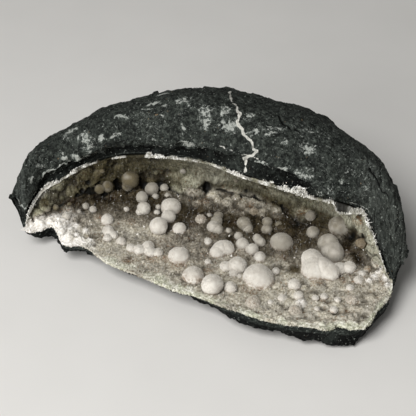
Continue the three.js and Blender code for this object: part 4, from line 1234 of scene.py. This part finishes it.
def ballParts(x, place, diameter, rise, seed, coated, others=()):
    # One ball. The core is a sphere grid round an axis that stands on the crust, with its foot
    # pressed flat a little under the crust's face; fibres or quartz grains stand out of it.
    middle, outward, along, up, onFace = ballFrame(x, place, diameter, rise)
    axes = np.stack([along, up, outward])
    random = np.random.default_rng(seed)
    radius = 0.5 * diameter - puff["coatedSkin" if coated else "skin"]
    rows = int(np.clip(puff["rowsPerMm"] * diameter, *puff["rows"]))
    columns = int(1.7 * rows)
    polar = np.linspace(0, np.pi, rows + 1)[1:-1][:, None]
    turn = (np.arange(columns) * 2 * np.pi / columns)[None]
    local = np.stack([np.sin(polar) * np.cos(turn), np.sin(polar) * np.sin(turn),
                      np.cos(polar) + 0 * turn], -1).reshape(-1, 3)
    ends = np.concatenate([local, [[0, 0, 1], [0, 0, -1]]])
    directions = ends @ axes
    shell = middle + directions * ballRadius(ends, radius, seed)[:, None]
    shell = fillet(shell, directions, others)
    floorLevel = (shell - onFace) @ outward
    shell = shell + outward * np.maximum(-puff["sunk"] - floorLevel, 0)[:, None]
    soiled = puff["soiled"].get(x, puff["stained"]) * diameter
    foot = 1 - smooth(0.0, soiled, (shell - onFace) @ outward)

    def paintedShadeAndGrime(spots, facing):
        # Painted shade and grime all over the ball, and a darker top, which is painted shade.
        shadedTop = 0.2 * smooth(0.1, 0.9, facing[:, 2] + 0.15 * swell(spots, 3, 161))
        return np.maximum(ballShadeAndGrime(x, place) * (1 + 0.25 * swell(spots, 2.2, 160)), shadedTop)

    core = {"points": shell, "faces": closedFaces(rows - 1, columns), "smooth": True,
            "values": {"tone": 0.5, "foot": foot, "deep": paintedShadeAndGrime(shell, directions)}}

    # Fibres or grains: spread evenly over the ball above the crust. A fibre is a thin spike.
    density = puff["grainsPerSquareMm" if coated else "fibresPerSquareMm"]
    number = int(density * np.pi * diameter**2)
    height = random.uniform(-1, 1, number)
    around = random.uniform(0, 2 * np.pi, number)
    flatPart = np.sqrt(1 - height**2)
    local = np.stack([flatPart * np.cos(around), flatPart * np.sin(around), height], -1)
    directions = local @ axes
    size = ballRadius(local, radius, seed)
    roots = middle + directions * (size - puff["rootDepth"])[:, None]
    roots = fillet(roots, directions, others)
    level = (roots - onFace) @ outward
    keep = level > -0.1
    roots, directions, level = roots[keep], directions[keep], level[keep]
    lean = unit(directions + random.normal(0, puff["lean"], roots.shape))
    number = len(roots)
    values = {"tone": random.uniform(0, 1, number), "foot": 1 - smooth(0.0, soiled, level),
              "deep": paintedShadeAndGrime(roots, directions)}
    if coated:
        sizes = (random.uniform(*puff["grainRadius"], number),
                 random.uniform(*puff["grainLength"], number), 6)
    else:
        sizes = (np.full(number, puff["fibreRadius"]),
                 random.uniform(*puff["fibreLength"], number), 3)
    return [core, crystals(roots, lean, *sizes, seed, values)]


def makePuffballs():
    # One piece for each ball or group of balls, and one for all the beads.
    for index, (name, balls) in enumerate(puffballs.items()):
        coated = "coated" in name or "brown" in name
        middles = [(ballFrame(*ball)[0], ball[2]) for ball in balls]
        parts = [part for i, ball in enumerate(balls)
                 for part in ballParts(*ball, 200 + 10 * index + i, coated,
                                       middles[:i] + middles[i + 1:])]
        makePiece("okenite_" + name, parts, dustedOkenite if coated else okenite,
                  ["puff_" + name])
    parts = [part for i, bead in enumerate(beads)
             for part in ballParts(*bead, puff["beadRise"], 900 + i, False)]
    makePiece("okenite_beads", parts, okenite)


makePuffballs()

# Quartz points on the crust.
quartz = {
    "sunk": 0.25,  # how deep a point's root sits under the crust's face
    # How many points, x from and to, place from and to, radius and height in mm, seed.
    "quartz_floor_left": (17000, -87.5, 14, 0.015, 1.0, (0.26, 0.55), (0.18, 0.75), 85),
    "quartz_floor_right": (17000, 14, 87.5, 0.015, 1.0, (0.26, 0.55), (0.18, 0.75), 87),
    "quartz_wall": (11000, -87.5, 87.5, 1.0, 1.96, (0.24, 0.45), (0.12, 0.45), 86),
    "rimPoints": 4200,
    "edgePoints": 2400,
    "stop": mouthEnd - 0.5,  # where the rim's and the edge's points stop
    "lean": 0.32,  # how far the face's points lean, as a share of their length
    "borderLean": 0.5,  # the same for the rim's and the edge's points
    "white": 0.008,  # share of the face's points that are white
    "stray": 0.03,  # share of the rim's points that lie further back
    "farAway": 50,  # mm: out of reach of anything that a border moves or tints
}
# The band of points along the rim: x, and how far it runs back, and how tall they get, in mm.
rimWidth = [(-88, 2.2), (-75, 1.9), (-60, 1.6), (-45, 0.4), (-38, 0.2), (-28, 0.2), (-22, 0.9),
            (0, 1.0), (14, 1.3), (24, 0.5), (54, 0.6), (62, 1.4), (82, 2.2), (88, 1.8)]
rimTall = [(-88, 1.3), (-40, 0.6), (-30, 0.7), (24, 1.0), (30, 1.1), (48, 1.1), (55, 1.6),
           (60, 0.9), (67, 0.9), (72, 2.6), (88, 1.8)]
# Tufts of frost on the rim: x, half their width, and how far they run back, in mm.
rimTufts = [(-85, 2.5, 2.4), (-78, 2, 2.6), (-63, 4, 1.8), (-27, 1.7, 2.2), (-22, 2.5, 1.6),
            (31.5, 1.5, 1.9), (38.3, 1.4, 2.1), (45, 3.7, 3.9), (59, 1.8, 2.4), (71.5, 1.6, 2.4),
            (78.6, 1.8, 4), (81.8, 1.2, 2.6)]


def facePlaces(count, left, right, low, high, seed):
    # Places spread evenly over the face's area: cells of a coarse grid are drawn by their area,
    # and each place lies at random in its cell.
    random = np.random.default_rng(seed)
    xs = np.linspace(left, right, 121)
    places = np.linspace(low, high, 61)
    corners = hollowFace(xs[:, None], places[None])[0]
    area = np.linalg.norm(np.cross(corners[1:, :-1] - corners[:-1, :-1],
                                   corners[:-1, 1:] - corners[:-1, :-1]), axis=-1).ravel()
    cell = random.choice(len(area), count, p=area / area.sum())
    i, j = np.divmod(cell, len(places) - 1)
    x = xs[i] + random.uniform(0, 1, count) * (xs[1] - xs[0])
    place = places[j] + random.uniform(0, 1, count) * (places[1] - places[0])
    return x, place, random


def clearOfBalls(points):
    # True where no ball covers the point.
    clear = np.ones(len(points), bool)
    for balls in puffballs.values():
        for x, place, diameter, rise in balls:
            middle = ballFrame(x, place, diameter, rise)[0]
            clear &= np.linalg.norm(points - middle, axis=-1) > 0.5 * diameter - 0.2
    return clear


def facePoints(name):
    # Quartz points on the crust's face. Their size varies, and each leans off the face a little.
    count, left, right, low, high, radii, heights, seed = quartz[name]
    sunk = quartz["sunk"]
    x, place, random = facePlaces(count, left, right, low, high, seed)
    flat, _, up = hollowFace(x, place)
    outward = faceOutward(x, place)
    lift = crustLift(flat, place)
    roots = flat + outward * (lift - sunk)[:, None]
    fromRim, fromEdge = (np.linalg.norm(flat - hollowFace(x, end)[0], axis=-1)
                         for end in (2.0, 0.0))
    masks = crustMasks(flat, place, fromRim, fromEdge, lift)
    # Fewer points on the frost, on pale parts and at the right front.
    smoother = np.maximum(0.93 * masks["frost"], 0.7 * masks["pale"])
    smoother = np.maximum(smoother, 0.88 * smooth(22, 42, x) * smooth(0.5, 0.3, place))
    keep = clearOfBalls(roots) & (random.uniform(0, 1, len(x)) > smoother)
    roots = chipped(roots, up, fromRim, fromEdge, place)[keep]
    number = len(roots)
    size = random.uniform(0, 1, number) ** 1.6
    size = size + 0.8 * size**9  # a few are much larger
    lean = unit(outward[keep] + random.normal(0, quartz["lean"], roots.shape))
    masks = {key: mask[keep] for key, mask in masks.items()}
    varied = 0.5 * swell(flat[keep], 2.2, seed + 3) + random.uniform(-0.35, 0.35, number)
    masks["tone"] = np.clip(0.5 + varied * (1 - 0.55 * masks["pale"]), 0, 1)
    white = random.uniform(0, 1, number) < quartz["white"]
    masks["frost"] = np.maximum(masks["frost"], white)
    tall, wide = (limits[0] + (limits[1] - limits[0]) * size for limits in (heights, radii))
    makePiece(name, [crystals(roots, lean, wide, sunk + tall, 6, seed, masks)], quartzPoints)


def rimPoints():
    # The jagged white rim: points that stand on the rim and run back over the brow, in a band
    # whose width changes along the rock.
    random = np.random.default_rng(81)
    number = quartz["rimPoints"]
    x = random.uniform(-quartz["stop"], quartz["stop"], number)
    width = readTable(rimWidth, x)
    clump = smooth(-0.5, 0.5, swell(np.stack([x, 0 * x, 0 * x], -1), 2.4, 141))
    for middle, half, reach in rimTufts:
        dome = np.sqrt(np.clip(1 - ((x - middle) / half)**2, 0, 1))
        width, clump = np.maximum(width, reach * dome), np.maximum(clump, dome > 0.3)
    back = random.uniform(-0.15, 1, number) * width * (0.4 + 0.8 * clump)
    # At the right a few stray points lie further back.
    stray = (random.uniform(0, 1, number) < quartz["stray"]) & (x > 20)
    back = np.where(stray, back + random.uniform(1, 3, number), back)
    flat, inward, up = hollowFace(x, 2.0)
    brow = linePoint("brow", x)
    thick = crustThickness(x, 2.0) + seatGap
    corner = flat + inward * thick[:, None]
    toBrow = unit(np.stack([x, brow[:, 0], brow[:, 1]], -1) - corner)
    onCrust = np.minimum(back, thick)
    roots = flat + inward * onCrust[:, None] + toBrow * np.maximum(back - thick, 0)[:, None]
    fall = crust["rimDrop"] * np.clip(back / thick, 0, 1)
    roots = roots + up * ((back < thick) * (0.6 - fall))[:, None]
    facing = unit(np.where((back < thick)[:, None], 0.7 * up + inward,
                           np.stack([0 * x, -toBrow[:, 2], toBrow[:, 1]], -1) + 0.6 * toBrow))
    lean = unit(facing + random.normal(0, quartz["borderLean"], roots.shape))
    size = random.uniform(0, 1, number) ** 2
    tall = readTable(rimTall, x)
    keep = random.uniform(0, 1, number) < (0.25 + 0.75 * clump) * readTable(rimShare, x)
    x, flat, roots, lean, back, thick = (values[keep] for values in
                                         (x, flat, roots, lean, back, thick))
    size, tall, number = size[keep], (tall * (0.3 + clump))[keep], keep.sum()
    roots = chipped(roots, hollowFace(x, 2.0)[2], 0, quartz["farAway"], 2.0)
    masks = crustMasks(flat, 2.0, -1, quartz["farAway"], 0)
    masks["rim"] = np.maximum(masks["rim"], back > thick)
    masks["tone"] = random.uniform(0.2, 1, number)
    grains = crystals(roots - lean * 0.3, lean, 0.22 + 0.24 * size, 0.6 + tall * size, 6, 82, masks)
    makePiece("quartz_rim", [grains], quartzPoints)


def edgePoints():
    # Broken crystals along the floor's front edge.
    random = np.random.default_rng(83)
    number = quartz["edgePoints"]
    x = random.uniform(-quartz["stop"], quartz["stop"], number)
    down = random.uniform(0, 1, number)
    flat, inward, up = hollowFace(x, 0.0)
    out = 0.1 + 0.5 * random.uniform(0, 1, number)
    roots = flat + inward * (down * 1.5)[:, None] - up * out[:, None]
    roots = chipped(roots, up, quartz["farAway"], 0, 0.0)
    facing = -up - inward * (0.6 - down)[:, None]
    lean = unit(facing + random.normal(0, quartz["borderLean"], roots.shape))
    size = random.uniform(0, 1, number) ** 1.5
    masks = crustMasks(flat, 0.0, quartz["farAway"], 0, 0)
    masks["tone"] = random.uniform(0.2, 0.9, number)
    grains = crystals(roots - lean * 0.3, lean, 0.22 + 0.3 * size, 0.6 + 0.6 * size, 6, 84, masks)
    makePiece("quartz_edge", [grains], quartzPoints)


for name in ("quartz_floor_left", "quartz_floor_right", "quartz_wall"):
    facePoints(name)
rimPoints()
edgePoints()

# The floor, the light and the camera.
studio = {
    "floorSize": 3.0,  # metres
    "elevation": 38.0,  # degrees
    "distance": 0.7,  # metres from the camera to the point it looks at
    "target": (0.0017, -0.0034, 0.030),
    "lens": 125.7,  # mm
    # Each light: power in watts, width and place in metres.
    "keyLight": (11.0, 0.6, (-0.36, -0.62, 0.92)),
    "fillLight": (8.0, 0.8, (-0.8, -0.95, 0.45)),
    "lightTarget": (0, 0, 0.03),
    "ambient": 0.17,  # strength of the pale light from all sides
}

size = studio["floorSize"]
corners = np.array([[-1.0, -1, 0], [1, -1, 0], [1, 1, 0], [-1, 1, 0]]) * size
board = bpy.data.meshes.new("studioFloor")
board.from_pydata((corners - [0, 0, 5e-5]).tolist(), [], [(0, 1, 2, 3)])
board.materials.append(boardMaterial())
floor = bpy.data.objects.new("studioFloor", board)
bpy.context.scene.collection.objects.link(floor)


def addLight(name):
    # A round lamp that faces the object.
    power, width, place = studio[name]
    lamp = bpy.data.lights.new(name, "AREA")
    lamp.energy = power
    lamp.shape = "DISK"
    lamp.size = width
    light = bpy.data.objects.new(name, lamp)
    light.location = place
    aim = Vector(studio["lightTarget"]) - Vector(place)
    light.rotation_euler = aim.to_track_quat("-Z", "Y").to_euler()
    bpy.context.scene.collection.objects.link(light)


addLight("keyLight")
addLight("fillLight")

world = bpy.data.worlds.new("studioWorld")
world.use_nodes = True
sky = world.node_tree.nodes["Background"]
sky.inputs[0].default_value = linear("#f4f4f2")
sky.inputs[1].default_value = studio["ambient"]
bpy.context.scene.world = world
bpy.context.scene.view_settings.view_transform = "Standard"

camera = bpy.data.cameras.new("studioCamera")
camera.lens = studio["lens"]
camera.sensor_width = 36
camera.clip_start = 0.01
eye = bpy.data.objects.new("studioCamera", camera)
target = Vector(studio["target"])
tilt = np.radians(studio["elevation"])
eye.location = target + Vector((0, -np.cos(tilt), np.sin(tilt))) * studio["distance"]
eye.rotation_euler = (target - eye.location).to_track_quat("-Z", "Y").to_euler()
bpy.context.scene.collection.objects.link(eye)
bpy.context.scene.camera = eye
print("floor, lights and camera are in place")
